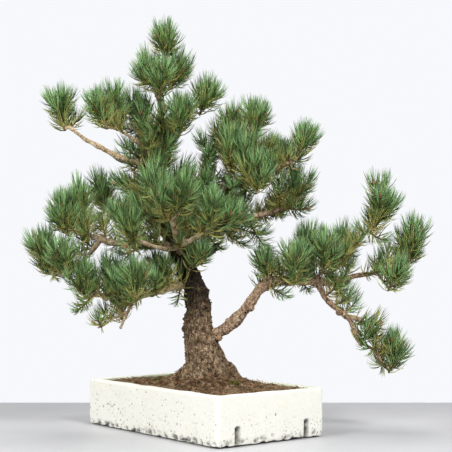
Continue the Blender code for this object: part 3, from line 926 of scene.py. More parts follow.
@dataclass
class Wood:
    """The trunk and its limbs: the CAD's wood, rounded and given plated bark."""

    softening: float = 0.6
    clear_foot: float = 0.03
    root_count: int = 8
    root_fall: float = math.radians(56)
    root_shape: tuple[float, float, float, float] = (2.7, 0.9, 0.9, 1.0)
    root_height: float = 0.015
    root_sizes: tuple[float, float] = (0.008, 0.012)
    seed: int = 3
    pieces: list[bpy.types.Object] = field(default_factory=list)

    @staticmethod
    def bark_recipe() -> GeometryRecipe:
        """The tree that cracks a smooth surface into plates and stores how deep each place lies.

        Returns:
            The recipe.
        """
        recipe = GeometryRecipe("bark relief")
        graph = recipe.graph
        plate = recipe.size("Plate Size")
        relief = recipe.size("Relief")
        swell = recipe.size("Swell")
        stretch = recipe.size("Stretch")
        shift = recipe.size("Pattern Shift")
        bulge = recipe.size("Bulge")
        where = graph.node("GeometryNodeInputPosition").outputs[0]
        wobble = graph.scaled(graph.clouds(where, 140.0, 4.0), graph.math("MULTIPLY", plate, 2.2))
        bent = graph.vector_math("ADD", where, wobble)
        squeezed = graph.vector_math("MULTIPLY", bent, graph.vector(1.0, 1.0, stretch))
        placed = graph.vector_math("ADD", squeezed, graph.vector(shift, shift, shift))
        inputs = {"Vector": placed, "Scale": graph.math("DIVIDE", 1.0, plate)}
        edge = graph.node("ShaderNodeTexVoronoi", inputs, feature="DISTANCE_TO_EDGE").outputs[0]
        crown = graph.spread(edge, 0.0, 0.16)
        flakes = graph.noise(squeezed, graph.math("DIVIDE", 1.5, plate), 6.0, 0.72)
        drawn = graph.vector_math("MULTIPLY", bent, graph.vector(1.0, 1.0, 0.22))
        streak = graph.noise(drawn, graph.math("DIVIDE", 1.1, plate), 3.0, 0.5)
        fissure = graph.spread(graph.math("ABSOLUTE", graph.math("SUBTRACT", streak, 0.5)), 0.0, 0.07)
        bulges = graph.math("SUBTRACT", graph.noise(where, 36.0, 2.0, 0.5), 0.5)
        height = graph.math("MULTIPLY", graph.math("SUBTRACT", crown, 0.7), 0.28)
        height = graph.math("MULTIPLY_ADD", graph.math("SUBTRACT", fissure, 0.8), 0.45, height)
        height = graph.math("MULTIPLY_ADD", graph.math("SUBTRACT", flakes, 0.5), 1.9, height)
        height = graph.math("MULTIPLY_ADD", bulges, bulge, height)
        worn = graph.math("MULTIPLY_ADD", crown, 0.18, graph.spread(flakes, 0.34, 0.66, 0.0, 0.52))
        worn = graph.math("MULTIPLY_ADD", fissure, 0.30, worn)
        stored = graph.stored(recipe.taken, "crack", worn)
        normal = graph.node("GeometryNodeInputNormal").outputs[0]
        depth = graph.math("ADD", graph.math("MULTIPLY", height, relief), swell)
        recipe.close(graph.smooth(graph.moved(stored, graph.scaled(normal, depth))))
        return recipe

    def _knotted(self, node: str) -> bpy.types.Mesh:
        """A node's mesh with half-sunk balls on it, which the skin turns into knots and healed stubs.

        Args:
            node: The wood's CAD node.

        Returns:
            The mesh with its knots.
        """
        mesh = merged_copy(node)
        knots = KNOTS.get(node, Knots())
        chance = np.random.default_rng(self.seed)
        bm = bmesh.new()
        bm.from_mesh(mesh)
        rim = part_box("pot")[1].z
        for place, normal in skin_points(mesh, knots.count, chance):
            if place.z < rim + self.clear_foot:
                continue
            radius = knots.size * chance.uniform(0.7, 1.2)
            shift = Matrix.Translation(place + normal * radius * chance.uniform(-0.35, 0.25))
            bmesh.ops.create_icosphere(bm, subdivisions=2, radius=radius, matrix=shift)
        if node == "trunk":
            self._add_roots(bm, rim, chance)
        bm.to_mesh(mesh)
        bm.free()
        return mesh

    def _add_roots(self, bm: bmesh.types.BMesh, rim: float, chance: np.random.Generator) -> None:
        """Sets long balls round the trunk's foot, which the skin turns into the flare of its roots.

        Args:
            bm: The trunk's mesh, changed here.
            rim: The height of the trough's rim.
            chance: The random draws.
        """
        ring = np.array([v.co[:] for v in bm.verts if abs(v.co.z - rim) < 0.02])
        middle = ring.mean(axis=0)
        reach = np.linalg.norm(ring[:, :2] - middle[:2], axis=1).mean()
        for k in range(self.root_count):
            angle = 2 * math.pi * (k + chance.uniform(-0.3, 0.3)) / self.root_count
            out = reach * chance.uniform(0.87, 1.02)
            x, y = middle[0] + out * math.cos(angle), middle[1] + out * math.sin(angle)
            turned = Matrix.Rotation(angle, 4, "Z") @ Matrix.Rotation(self.root_fall, 4, "Y")
            place = Matrix.Translation((x, y, rim + self.root_height))
            shift = place @ turned @ Matrix.Diagonal(self.root_shape)
            size = chance.uniform(*self.root_sizes)
            bmesh.ops.create_icosphere(bm, subdivisions=2, radius=size, matrix=shift)

    def build(self, finishes: Finishes) -> None:
        """Builds one piece for the trunk and one for each limb.

        Args:
            finishes: The materials.
        """
        recipe = self.bark_recipe()
        for entry in frame["record"]["subparts"]:
            node, slot = entry["node"], entry["material_slot"]
            if slot not in {"trunk_bark", "branch_bark"}:
                continue
            old = slot == "trunk_bark"
            shape = OLD_WOOD if old else YOUNG_WOOD
            young = BarkAge.LIMB if node in OLDER_LIMBS else BarkAge.TWIG
            item = as_object(f"{node}_bark", self._knotted(node))
            reskin(item, shape.voxel)
            soften = item.modifiers.new("round", "SMOOTH")
            soften.factor = self.softening
            soften.iterations = shape.smoothing
            settled(item)
            recipe.grow(
                item,
                Plate_Size=shape.plate,
                Relief=shape.relief,
                Swell=shape.swell,
                Stretch=shape.stretch,
                Bulge=shape.bulge,
                Pattern_Shift=float(len(node)),
                Finish=finishes.bark[BarkAge.TRUNK if old else young],
            )
            place_on_model(item, slot, node)
            self.pieces.append(item)


@dataclass
class LooseBark:
    """Small flakes that lift off the old trunk."""

    length: float = 0.0082
    density: float = 13500.0
    lowest: float = 0.088
    highest: float = 0.225
    shape: tuple[float, float, float] = (1.0, 0.6, 0.15)
    seed: int = 23

    def flake_recipe(self) -> GeometryRecipe:
        """The tree that scatters flakes over a skin between two heights.

        Returns:
            The recipe.
        """
        recipe = GeometryRecipe("loose bark flakes")
        graph = recipe.graph
        length = recipe.size("Flake Length")
        density = recipe.size("Density")
        lowest = recipe.size("Lowest")
        highest = recipe.size("Highest")
        seed = recipe.size("Seed", "NodeSocketInt")
        where = graph.node("GeometryNodeInputPosition").outputs[0]
        height = graph.height(where)
        above = graph.math("GREATER_THAN", height, lowest)
        chosen = graph.math("MULTIPLY", above, graph.math("LESS_THAN", height, highest))
        spots = graph.spots(recipe.taken, density, seed, chosen)
        facing = graph.facing(spots.outputs["Normal"])
        turned = graph.turned(facing, UPRIGHT, graph.random(0.0, WHOLE_TURN, seed, 1))
        lifted = graph.turned(turned, SIDEWAYS, graph.random(-0.1, 0.95, seed, 2))
        size = graph.math("MULTIPLY", graph.random(0.4, 1.2, seed, 3), length)
        recipe.close(graph.copies(spots.outputs["Points"], graph.pebble(0.5, self.shape), lifted, size))
        return recipe

    def build(self, trunk: bpy.types.Object, finishes: Finishes) -> None:
        """Builds the flakes on the trunk's bark.

        Args:
            trunk: The trunk's finished bark.
            finishes: The materials.
        """
        item = as_object("loose_bark", trunk.data.copy())
        item.data.materials.clear()
        self.flake_recipe().grow(
            item,
            Flake_Length=self.length,
            Density=self.density,
            Lowest=self.lowest,
            Highest=self.highest,
            Seed=self.seed,
            Finish=finishes.loose_bark,
        )
        place_on_model(item, "trunk_bark")


# ---- shoots and needles ----------------------------------------------------------------------------------

@dataclass(frozen=True)
class Envelope:
    """The room that the model keeps for one tuft: its foot, its crown and its half width."""

    foot: Vector
    crown: Vector
    radius: float

    @classmethod
    def of_node(cls, node: str) -> Envelope:
        """Reads the envelope from the tuft's CAD solid: both poles are the corners with the most edges.

        Args:
            node: The tuft's CAD node.

        Returns:
            Its envelope.
        """
        bm = bmesh.new()
        bm.from_mesh(merged_copy(node))
        poles = sorted(bm.verts, key=lambda v: len(v.link_edges))[-2:]

        def sharpness(pole: bmesh.types.BMVert) -> float:
            """How far the ring beside a pole stands off the line between the poles.

            Args:
                pole: One of both poles.

            Returns:
                The ring's mean distance.
            """
            line = (poles[0].co - poles[1].co).normalized()
            away = [e.other_vert(pole).co - pole.co for e in pole.link_edges]
            return sum((a - line * a.dot(line)).length for a in away) / len(away)

        foot, crown = (pole.co.copy() for pole in sorted(poles, key=sharpness))
        line = (crown - foot).normalized()
        radius = max(((v.co - foot) - line * (v.co - foot).dot(line)).length for v in bm.verts)
        bm.free()
        return cls(foot, crown, radius)

    @property
    def length(self) -> float:
        """From foot to crown."""
        return (self.crown - self.foot).length

    @property
    def axis(self) -> Vector:
        """The way the tuft reaches."""
        return (self.crown - self.foot).normalized()


@dataclass
class Shoot:
    """One leafy twig end: its line of points, how vigorous it is and how old its needles are."""

    line: list[Vector]
    vigour: float
    age: float


@dataclass(frozen=True)
class Wayside:
    """How leafy a limb is between tufts: its bare stretch, the gap between shoots, their length and lean."""

    bare: float
    gap: float
    short: float
    long: float
    droop: float = -0.1
    rise: float = 0.5
    outward: float = 0.5


WAYSIDES = {
    "trunk": Wayside(0.0, 0.0135, 0.032, 0.076, -0.2, 0.7, 0.0),
    "lower_left_branch": Wayside(0.008, 0.014, 0.026, 0.058, -0.4, 1.3),
    "middle_left_branch": Wayside(0.030, 0.018, 0.022, 0.044),
    "front_branch": Wayside(0.045, 0.050, 0.014, 0.024),
    "middle_right_branch": Wayside(0.006, 0.0105, 0.036, 0.074, -0.7, 1.6, 0.3),
    "upper_right_branch": Wayside(0.006, 0.0130, 0.032, 0.074, -0.5, 0.9, -0.3),
    "lower_right_branch": Wayside(0.098, 0.021, 0.018, 0.040, -0.7, 0.9),
    "back_left_branch": Wayside(0.016, 0.016, 0.026, 0.054, -0.2, 0.9),
    "back_right_branch": Wayside(0.020, 0.015, 0.030, 0.062, -0.1, 1.0),
}


@dataclass
class Foliage:
    """All the tufts: shoots inside each envelope, their needles, twigs and buds."""

    needle_length: float = 0.031
    needle_width: float = 0.00080
    needle_spacing: float = 0.00092
    foot_tilt: float = math.radians(76)
    tip_tilt: float = math.radians(37)
    lift: float = 0.009
    twig_radius: float = 0.0016
    budding: float = 0.93
    bud_length: float = 0.010
    side_shoots: int = 6
    spurs: int = 3
    spur_reach: float = 0.045
    spur_clear: float = 0.012
    rooted: float = 0.002
    main_rooted: float = 0.016
    crown_clear: float = 0.010
    slim_tuft: float = 0.022
    steps: int = 6
    wander: float = 0.10
    upturn: float = 0.45
    leafy_trunk: tuple[float, float] = (0.335, 0.525)
    skin_samples: int = 1600
    seed: int = 11
    shoots: dict[str, list[Shoot]] = field(default_factory=dict)

    def lay_out(self) -> None:
        """Sets the shoots of every tuft, the spurs on the wood beside it and those along the limbs."""
        middle = sum(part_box("trunk"), Vector()) / 2
        wood = self._leafy_wood()
        nodes = [e["node"] for e in frame["record"]["subparts"] if e["material_slot"] == "needles"]
        for number, node in enumerate(nodes):
            room = Envelope.of_node(node)
            chance = np.random.default_rng(self.seed + number)
            outward = Vector((room.foot.x - middle.x, room.foot.y - middle.y, 0.0)).normalized()
            self.shoots[node] = self._cluster(room, outward, chance) + self._spurs(room, wood, chance)
        chance = np.random.default_rng(self.seed)
        for limb, wayside in WAYSIDES.items():
            self.shoots[limb] = self._along(limb, wayside, chance)

    def _along(self, limb: str, wayside: Wayside, chance: np.random.Generator) -> list[Shoot]:
        """Short shoots all along a limb, past the bare stretch beside the trunk.

        Args:
            limb: The limb's node.
            wayside: How leafy the limb is.
            chance: The random draws.

        Returns:
            The shoots, with old yellowish needles.
        """
        skin = merged_copy(limb)
        trunk = search_tree("trunk")
        taken: list[Vector] = []
        spurs = []
        for place, normal in skin_points(skin, self.skin_samples, chance):
            if trunk.find_nearest(place)[3] < wayside.bare - 1e-4:
                continue
            if limb == "trunk" and not self.leafy_trunk[0] < place.z < self.leafy_trunk[1]:
                continue
            if any((place - other).length < wayside.gap for other in taken):
                continue
            taken.append(place)
            outward = Vector((place.x, place.y, 0.0)).normalized()
            rise = Vector((0, 0, chance.uniform(wayside.droop, wayside.rise)))
            way = (normal + outward * wayside.outward + rise).normalized()
            length = chance.uniform(wayside.short, wayside.long)
            vigour, age = chance.uniform(0.78, 1.0), chance.uniform(0.0, 0.7)
            spurs.append(self._shoot(place - way * self.rooted, way, length, chance, vigour, age))
        return spurs

    def _leafy_wood(self) -> np.ndarray:
        """Places on the limbs, and on the trunk near its tip, where a spur may stand.

        Returns:
            The places, one row each.
        """
        places = []
        for entry in frame["record"]["subparts"]:
            if entry["material_slot"] in {"branch_bark", "trunk_bark"}:
                corners = np.array([v.co[:] for v in frame["nodes"][entry["node"]].data.vertices])
                if entry["material_slot"] == "trunk_bark":
                    low, high = self.leafy_trunk
                    corners = corners[(corners[:, 2] > low) & (corners[:, 2] < high)]
                places.append(corners)
        return np.concatenate(places)

    def _cluster(self, room: Envelope, outward: Vector, chance: np.random.Generator) -> list[Shoot]:
        """One main shoot up the envelope and side shoots that spread round it.

        Args:
            room: The tuft's envelope.
            outward: The level direction away from the trunk.
            chance: The tuft's random draws.

        Returns:
            The shoots.
        """
        leading = room.length * 1.02 - self.crown_clear
        start = room.foot - room.axis * self.main_rooted
        shoots = [self._shoot(start, room.axis, leading, chance, 1.0, 0.0)]
        count = self.side_shoots if room.radius > self.slim_tuft else self.side_shoots - 2
        turn = chance.uniform(0, 2 * math.pi)
        across = room.axis.orthogonal().normalized()
        for k in range(count):
            angle = turn + 2 * math.pi * (k + chance.uniform(-0.2, 0.2)) / count
            side = Matrix.Rotation(angle, 3, room.axis) @ across
            side.z *= 0.6
            way = (room.axis + side * chance.uniform(0.5, 1.3) + outward * 0.2).normalized()
            start = room.foot + room.axis * room.length * chance.uniform(-0.14, 0.30)
            length = room.length * chance.uniform(0.38, 0.52)
            vigour, age = chance.uniform(0.78, 0.98), chance.uniform(0, 0.3)
            shoots.append(self._shoot(start, way, length, chance, vigour, age))
        return shoots

    def _spurs(self, room: Envelope, wood: np.ndarray, chance: np.random.Generator) -> list[Shoot]:
        """Short shoots on the wood beside a tuft, which close the pad between one tuft and the next.

        Args:
            room: The tuft's envelope.
            wood: Places on the wood.
            chance: The tuft's random draws.

        Returns:
            The shoots.
        """
        away = np.linalg.norm(wood - np.array(room.foot), axis=1)
        near = wood[(away < self.spur_reach) & (away > self.spur_clear)]
        if not len(near):
            return []
        spurs = []
        for _ in range(self.spurs):
            start = Vector(near[chance.integers(len(near))])
            side = Vector(chance.normal(0, 0.7, 3))
            side.z = side.z * 0.6 + 0.25
            way = (room.axis * 0.6 + side).normalized()
            start -= way * self.rooted
            length = chance.uniform(0.016, 0.030)
            vigour, age = chance.uniform(0.66, 0.86), chance.uniform(0.2, 0.8)
            spurs.append(self._shoot(start, way, length, chance, vigour, age))
        return spurs

    def _shoot(
        self, start: Vector, way: Vector, length: float, chance: np.random.Generator,
        vigour: float, age: float,
    ) -> Shoot:
        """One shoot that starts along its way and turns a little upwards.

        Args:
            start: Where it leaves the twig.
            way: Its first direction.
            length: Its length.
            chance: The tuft's random draws.
            vigour: How strong it is, which scales its needles.
            age: How old its needles are, from 0 to 1.

        Returns:
            The shoot.
        """
        wander = Vector(chance.normal(0, self.wander, 3))
        line = [start.copy()]
        for i in range(self.steps):
            t = (i + 1) / self.steps
            direction = (way + wander * t + Vector((0, 0, self.upturn)) * t).normalized()
            line.append(line[-1] + direction * length / self.steps)
        return Shoot(line, vigour, age)

    def _lines_mesh(self, name: str, shoots: list[Shoot]) -> bpy.types.Mesh:
        """The shoots as chains of edges that carry how far along they are, how vigorous and how old.

        Args:
            name: The mesh's name.
            shoots: The shoots.

        Returns:
            The mesh.
        """
        points: list[Vector] = []
        edges: list[tuple[int, int]] = []
        carried: dict[str, list[float]] = {"reach": [], "vigour": [], "age": []}
        for shoot in shoots:
            first = len(points)
            points += shoot.line
            count = len(shoot.line)
            edges += [(first + i, first + i + 1) for i in range(count - 1)]
            carried["reach"] += [i / (count - 1) for i in range(count)]
            carried["vigour"] += [shoot.vigour] * count
            carried["age"] += [shoot.age] * count
        mesh = bpy.data.meshes.new(name)
        mesh.from_pydata(points, edges, [])
        for label, values in carried.items():
            mesh.attributes.new(label, "FLOAT", "POINT").data.foreach_set("value", values)
        return mesh

    @staticmethod
    def _needle(graph: GeometryGraph, girth: Socket, side: float) -> Socket:
        """Adds one needle of a pair, one unit long, that bows over and leans to its side.

        Args:
            graph: The needles' graph.
            girth: The needle's half width as a share of its length.
            side: -1 or 1, the side that it leans to.

        Returns:
            The needle, which carries how far along and how far around each point lies.
        """
        line, share = graph.straight((0.0, 0.0, 0.0), UPRIGHT, 4)
        line = graph.stored(line, "along", share)
        bow = graph.math("MULTIPLY", graph.math("POWER", share, 2.0), 0.32)
        splay = graph.math("MULTIPLY", share, 0.075 * side)
        line = graph.moved(line, graph.vector(splay, bow, 0.0))
        around = graph.node("GeometryNodeSplineParameter").outputs[0]
        ring = graph.stored(graph.ring(3, 1.0), "around", around)
        taper = graph.spread(graph.math("POWER", share, 4.0), 0.0, 1.0, 1.0, 0.12)
        return graph.tube(line, ring, graph.math("MULTIPLY", girth, taper))

    def needle_recipe(self, columns: int) -> GeometryRecipe:
        """The tree that sets pairs of curved needles along each shoot and gives each its palette place.

        Args:
            columns: How many columns the palette has.

        Returns:
            The recipe.
        """
        recipe = GeometryRecipe("needles on shoots")
        graph = recipe.graph
        length = recipe.size("Needle Length")
        width = recipe.size("Needle Width")
        spacing = recipe.size("Needle Spacing")
        foot_tilt = recipe.size("Foot Tilt")
        tip_tilt = recipe.size("Tip Tilt")
        lift = recipe.size("Lift")
        seed = recipe.size("Seed", "NodeSocketInt")

        curve = graph.node("GeometryNodeMeshToCurve", {0: recipe.taken}).outputs[0]
        points = graph.node("GeometryNodeCurveToPoints", {"Curve": curve, "Length": spacing}, mode="LENGTH")
        reach = graph.attribute("reach")
        tone = graph.math("ADD", graph.math("MULTIPLY", reach, 0.62), graph.random(-0.06, 0.44, seed))
        tone = graph.math("SUBTRACT", tone, graph.math("MULTIPLY", graph.attribute("age"), 0.45))
        toned = graph.stored(points.outputs["Points"], "tone", tone)

        index = graph.node("GeometryNodeInputIndex").outputs[0]
        spin = graph.math("MULTIPLY_ADD", index, GOLDEN_ANGLE, graph.random(-0.5, 0.5, seed, 1))
        lean = graph.spread(graph.math("POWER", reach, 2.0), 0.0, 1.0, foot_tilt, tip_tilt)
        lean = graph.math("ADD", lean, graph.random(-0.42, 0.42, seed, 2))
        turned = graph.turned(graph.facing(points.outputs["Tangent"]), UPRIGHT, spin)
        leaning = graph.turned(turned, (1.0, 0.0, 0.0), lean)
        shape = graph.spread(reach, 0.55, 1.0, 1.0, 0.76)
        size = graph.math("MULTIPLY", graph.random(0.82, 1.06, seed, 3), shape)
        size = graph.math("MULTIPLY", graph.math("MULTIPLY", size, graph.attribute("vigour")), length)

        girth = graph.math("DIVIDE", width, length)
        pair = graph.node("GeometryNodeJoinGeometry", {0: self._needle(graph, girth, -1.0)})
        recipe.tree.links.new(self._needle(graph, girth, 1.0), pair.inputs[0])
        needles = graph.copies(toned, pair.outputs[0], leaning, size)
        real = graph.node("GeometryNodeRealizeInstances", {0: needles}).outputs[0]
        along = graph.attribute("along")
        rise = graph.math("MULTIPLY", graph.math("POWER", along, 2.0), lift)
        risen = graph.moved(real, graph.vector(0.0, 0.0, rise))

        tone = graph.spread(graph.attribute("tone"), 0.0, 1.0, 0.0, 0.999)
        column = graph.math("FLOOR", graph.math("MULTIPLY", tone, float(columns)))
        across = graph.math("MULTIPLY_ADD", graph.attribute("around"), 0.9, 0.05)
        place = graph.math("DIVIDE", graph.math("ADD", column, across), float(columns))
        mapped = graph.stored(risen, PALETTE_UV, graph.vector(place, along, 0.0), "FLOAT2", "CORNER")
        recipe.close(graph.smooth(mapped))
        return recipe

    @staticmethod
    def twig_recipe() -> GeometryRecipe:
        """The tree that gives each shoot its woody twig.

        Returns:
            The recipe.
        """
        recipe = GeometryRecipe("twigs under needles")
        graph = recipe.graph
        radius = recipe.size("Twig Radius")
        curve = graph.node("GeometryNodeMeshToCurve", {0: recipe.taken}).outputs[0]
        knots = graph.noise(graph.node("GeometryNodeInputPosition").outputs[0], 400.0, 2.0)
        girth = graph.math("MULTIPLY", graph.spread(graph.attribute("reach"), 0.0, 1.0, 1.15, 0.7), radius)
        girth = graph.math("MULTIPLY", girth, graph.spread(knots, 0.3, 0.7, 0.85, 1.25))
        recipe.close(graph.smooth(graph.tube(curve, graph.ring(6, 1.0), girth)))
        return recipe

    def build(self, finishes: Finishes) -> None:
        """Builds the needles of each tuft as one piece, and all twigs and buds.

        Args:
            finishes: The materials.
        """
        self.lay_out()
        needles = self.needle_recipe(NeedleFinish.columns)
        for number, (node, shoots) in enumerate(self.shoots.items()):
            name = node.replace("_tuft", "") + "_needles"
            item = as_object(name, self._lines_mesh(name, shoots))
            needles.grow(
                item,
                Needle_Length=self.needle_length,
                Needle_Width=self.needle_width,
                Needle_Spacing=self.needle_spacing,
                Foot_Tilt=self.foot_tilt,
                Tip_Tilt=self.tip_tilt,
                Lift=self.lift,
                Seed=self.seed + number * 7,
                Finish=finishes.needles,
            )
            place_on_model(item, "needles", *([node] if node.endswith("tuft") else []))
        every = [shoot for shoots in self.shoots.values() for shoot in shoots]
        twigs = as_object("shoot_twigs", self._lines_mesh("shoot_twigs", every))
        self.twig_recipe().grow(twigs, Twig_Radius=self.twig_radius, Finish=finishes.bark[BarkAge.TWIG])
        place_on_model(twigs, "branch_bark")
        strong = [shoot for shoot in every if shoot.vigour > self.budding]
        buds = as_object("winter_buds", self._tips_mesh("winter_buds", strong))
        self.bud_recipe().grow(buds, Bud_Length=self.bud_length, Seed=self.seed, Finish=finishes.buds)
        place_on_model(buds, "branch_bark")

    @staticmethod
    def _tips_mesh(name: str, shoots: list[Shoot]) -> bpy.types.Mesh:
        """The shoots' tips as loose points that carry the way they face.

        Args:
            name: The mesh's name.
            shoots: The shoots.

        Returns:
            The mesh.
        """
        mesh = bpy.data.meshes.new(name)
        mesh.from_pydata([shoot.line[-1] for shoot in shoots], [], [])
        ways = [axis for shoot in shoots for axis in (shoot.line[-1] - shoot.line[-2]).normalized()]
        mesh.attributes.new("way", "FLOAT_VECTOR", "POINT").data.foreach_set("vector", ways)
        return mesh

    @staticmethod
    def bud_recipe() -> GeometryRecipe:
        """The tree that sets a pointed bud on each tip with two smaller ones beside it.

        Returns:
            The recipe.
        """
        recipe = GeometryRecipe("buds on tips")
        graph = recipe.graph
        length = recipe.size("Bud Length")
        seed = recipe.size("Seed", "NodeSocketInt")
        facing = graph.facing(graph.attribute("way", "FLOAT_VECTOR"))
        turned = graph.turned(facing, UPRIGHT, graph.random(0.0, WHOLE_TURN, seed))
        line, share = graph.straight((0.0, 0.0, -0.2), UPRIGHT, 6)
        girth = graph.math("SINE", graph.math("MULTIPLY_ADD", graph.math("POWER", share, 0.75), 2.7, 0.35))
        bud = graph.tube(line, graph.ring(6, 0.24), girth)
        cluster = graph.node("GeometryNodeJoinGeometry", {0: bud})
        for side in (-1.0, 1.0):
            inputs = {
                "Geometry": bud, "Translation": (0.22 * side, 0.06, -0.1), "Rotation": (0.1, 0.5 * side, 0.0),
                "Scale": (0.7, 0.7, 0.62),
            }
            small = graph.node("GeometryNodeTransform", inputs).outputs[0]
            recipe.tree.links.new(small, cluster.inputs[0])
        size = graph.math("MULTIPLY", graph.random(0.7, 1.15, seed, 1), length)
        recipe.close(graph.smooth(graph.copies(recipe.taken, cluster.outputs[0], turned, size)))
        return recipe


# ---- trough ----------------------------------------------------------------------------------------------

@dataclass
class Trough:
    """The cast trough: a rounded shell with pocks, a crumbled foot and drain slots in its short walls."""

    corner_radius: float = 0.009
    edge_radius: float = 0.0035
    slot_width: float = 0.010
    slot_height: float = 0.031
    slot_from_corner: float = 0.0405
    slot_depth: float = 0.0125
    pitch: float = 0.0015
    bend_steps: int = 4
    inner_depths: tuple[float, ...] = (0.0, 0.002, 0.004, 0.007, 0.011, 0.02, 0.035, 0.055)
    pock_count: int = 620
    pock_sizes: tuple[float, float] = (0.0007, 0.0013)
    large_share: float = 0.16
    scratch_marks: int = 15
    seed: int = 5

    def __post_init__(self) -> None:
        """Takes the trough's sizes from the model."""
        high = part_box("pot")[1]
        soil_low, soil_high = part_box("soil")
        self.half_length = high.x
        self.half_width = high.y
        self.height = high.z
        self.wall = high.x - soil_high.x - 0.0003
        self.floor = soil_low.z

    def _plan(self, inset: float) -> np.ndarray:
        """The outline drawn in by an inset.

        Args:
            inset: How far it's drawn in.

        Returns:
            x, y and the outward direction at each of its points.
        """
        outer = self.corner_radius
        straight_x = 2 * (self.half_length - outer)
        straight_y = 2 * (self.half_width - outer)
        arc = outer * math.pi / 2
        radius = max(outer - inset, self.edge_radius)
        rows = []
        corners = ((1, -1, -90), (1, 1, 0), (-1, 1, 90), (-1, -1, 180))
        runs = (straight_y, straight_x, straight_y, straight_x)
        for (side_x, side_y, start), run in zip(corners, runs):
            centre_x = side_x * (self.half_length - inset - radius)
            centre_y = side_y * (self.half_width - inset - radius)
            steps = max(4, round(arc / self.pitch))
            for k in range(steps):
                angle = math.radians(start + 90 * k / steps)
                out = (math.cos(angle), math.sin(angle))
                rows.append((centre_x + radius * out[0], centre_y + radius * out[1], *out))
            angle = math.radians(start + 90)
            out = (math.cos(angle), math.sin(angle))
            here = (centre_x + radius * out[0], centre_y + radius * out[1])
            length = run - 2 * (inset + radius - outer)
            way = (-out[1], out[0])
            count = max(4, round(run / self.pitch))
            for k in range(count):
                share = length * k / count
                rows.append((here[0] + way[0] * share, here[1] + way[1] * share, *out))
        return np.array(rows)

    def _profile(self) -> list[tuple[float, float, float, float]]:
        """The shell's section from the foot up, over the rim and down inside.

        Returns:
            Inset, height and the way out, sideways and up, at each of its points.
        """
        soft = self.edge_radius
        angles = [math.radians(90 * k / self.bend_steps) for k in range(self.bend_steps)]
        bend = [(math.sin(angle), math.cos(angle)) for angle in angles]
        rows = [(soft * (1 - sin), soft * (1 - cos), sin, -cos) for sin, cos in bend]
        count = round((self.height - 2 * soft) / self.pitch)
        for k in range(count + 1):
            rows.append((0.0, soft + (self.height - 2 * soft) * k / count, 1.0, 0.0))
        for sin, cos in bend[1:]:
            rows.append((soft * (1 - cos), self.height - soft * (1 - sin), cos, sin))
        count = round((self.wall - 2 * soft) / self.pitch)
        for k in range(count + 1):
            rows.append((soft + (self.wall - 2 * soft) * k / count, self.height, 0.0, 1.0))
        for sin, cos in bend[1:]:
            rows.append((self.wall - soft * (1 - sin), self.height - soft * (1 - cos), -sin, cos))
        for depth in self.inner_depths:
            rows.append((self.wall, self.height - soft - depth, -1.0, 0.0))
        rows.append((self.wall + 0.004, self.floor, -0.7, 0.7))
        return rows

    def build(self, finishes: Finishes) -> bpy.types.Object:
        """Builds the shell, wears it and dresses it.

        Args:
            finishes: The materials.

        Returns:
            The finished piece.
        """
        profile = self._profile()
        plans = [self._plan(inset) for inset, _, _, _ in profile]
        around = len(plans[0])
        places = np.zeros((len(profile), around, 3))
        ways = np.zeros_like(places)
        for row, (_, z, side, up) in enumerate(profile):
            places[row, :, :2] = plans[row][:, :2]
            places[row, :, 2] = z
            ways[row, :, :2] = plans[row][:, 2:] * side
            ways[row, :, 2] = up
        flat, out = places.reshape(-1, 3), ways.reshape(-1, 3)
        push, grime = self._wear(flat, out)
        moved, slot_dust_and_shade = self._cut_slots(flat, flat + out * push[:, None], out)
        inside = np.repeat([1.0 if side < -0.5 else 0.0 for _, _, side, _ in profile], around)
        rim = np.repeat([0.45 if up > 0.9 else 0.0 for _, _, _, up in profile], around)
        inside += rim * (moved[:, 1] > 0.0)
        mesh = self._shell(moved, around)
        # The slots' painted shade with soil dust joins the dirt and the dark pocks.
        grime = np.maximum(grime, slot_dust_and_shade)
        mesh.attributes.new("grime", "FLOAT", "POINT").data.foreach_set("value", grime)
        mesh.attributes.new("inside", "FLOAT", "POINT").data.foreach_set("value", np.clip(inside, 0, 1))
        mesh.shade_smooth()
        mesh.materials.append(finishes.trough)
        item = as_object("cast_trough", mesh)
        place_on_model(item, "pot_stone", "pot")
        return item

    @staticmethod
    def _shell(points: np.ndarray, around: int) -> bpy.types.Mesh:
        """Joins rings of places into a closed mesh.

        Args:
            points: The places, ring after ring.
            around: How many places a ring has.

        Returns:
            The mesh.
        """
        bm = bmesh.new()
        verts = [bm.verts.new(p) for p in points]
        for a in range(0, len(verts) - around, around):
            b = a + around
            for k in range(around):
                j = (k + 1) % around
                bm.faces.new((verts[a + k], verts[a + j], verts[b + j], verts[b + k]))
        bm.faces.new(verts[:around][::-1])
        bm.faces.new(verts[-around:])
        bmesh.ops.recalc_face_normals(bm, faces=bm.faces)
        mesh = bpy.data.meshes.new("cast_trough")
        bm.to_mesh(mesh)
        bm.free()
        return mesh

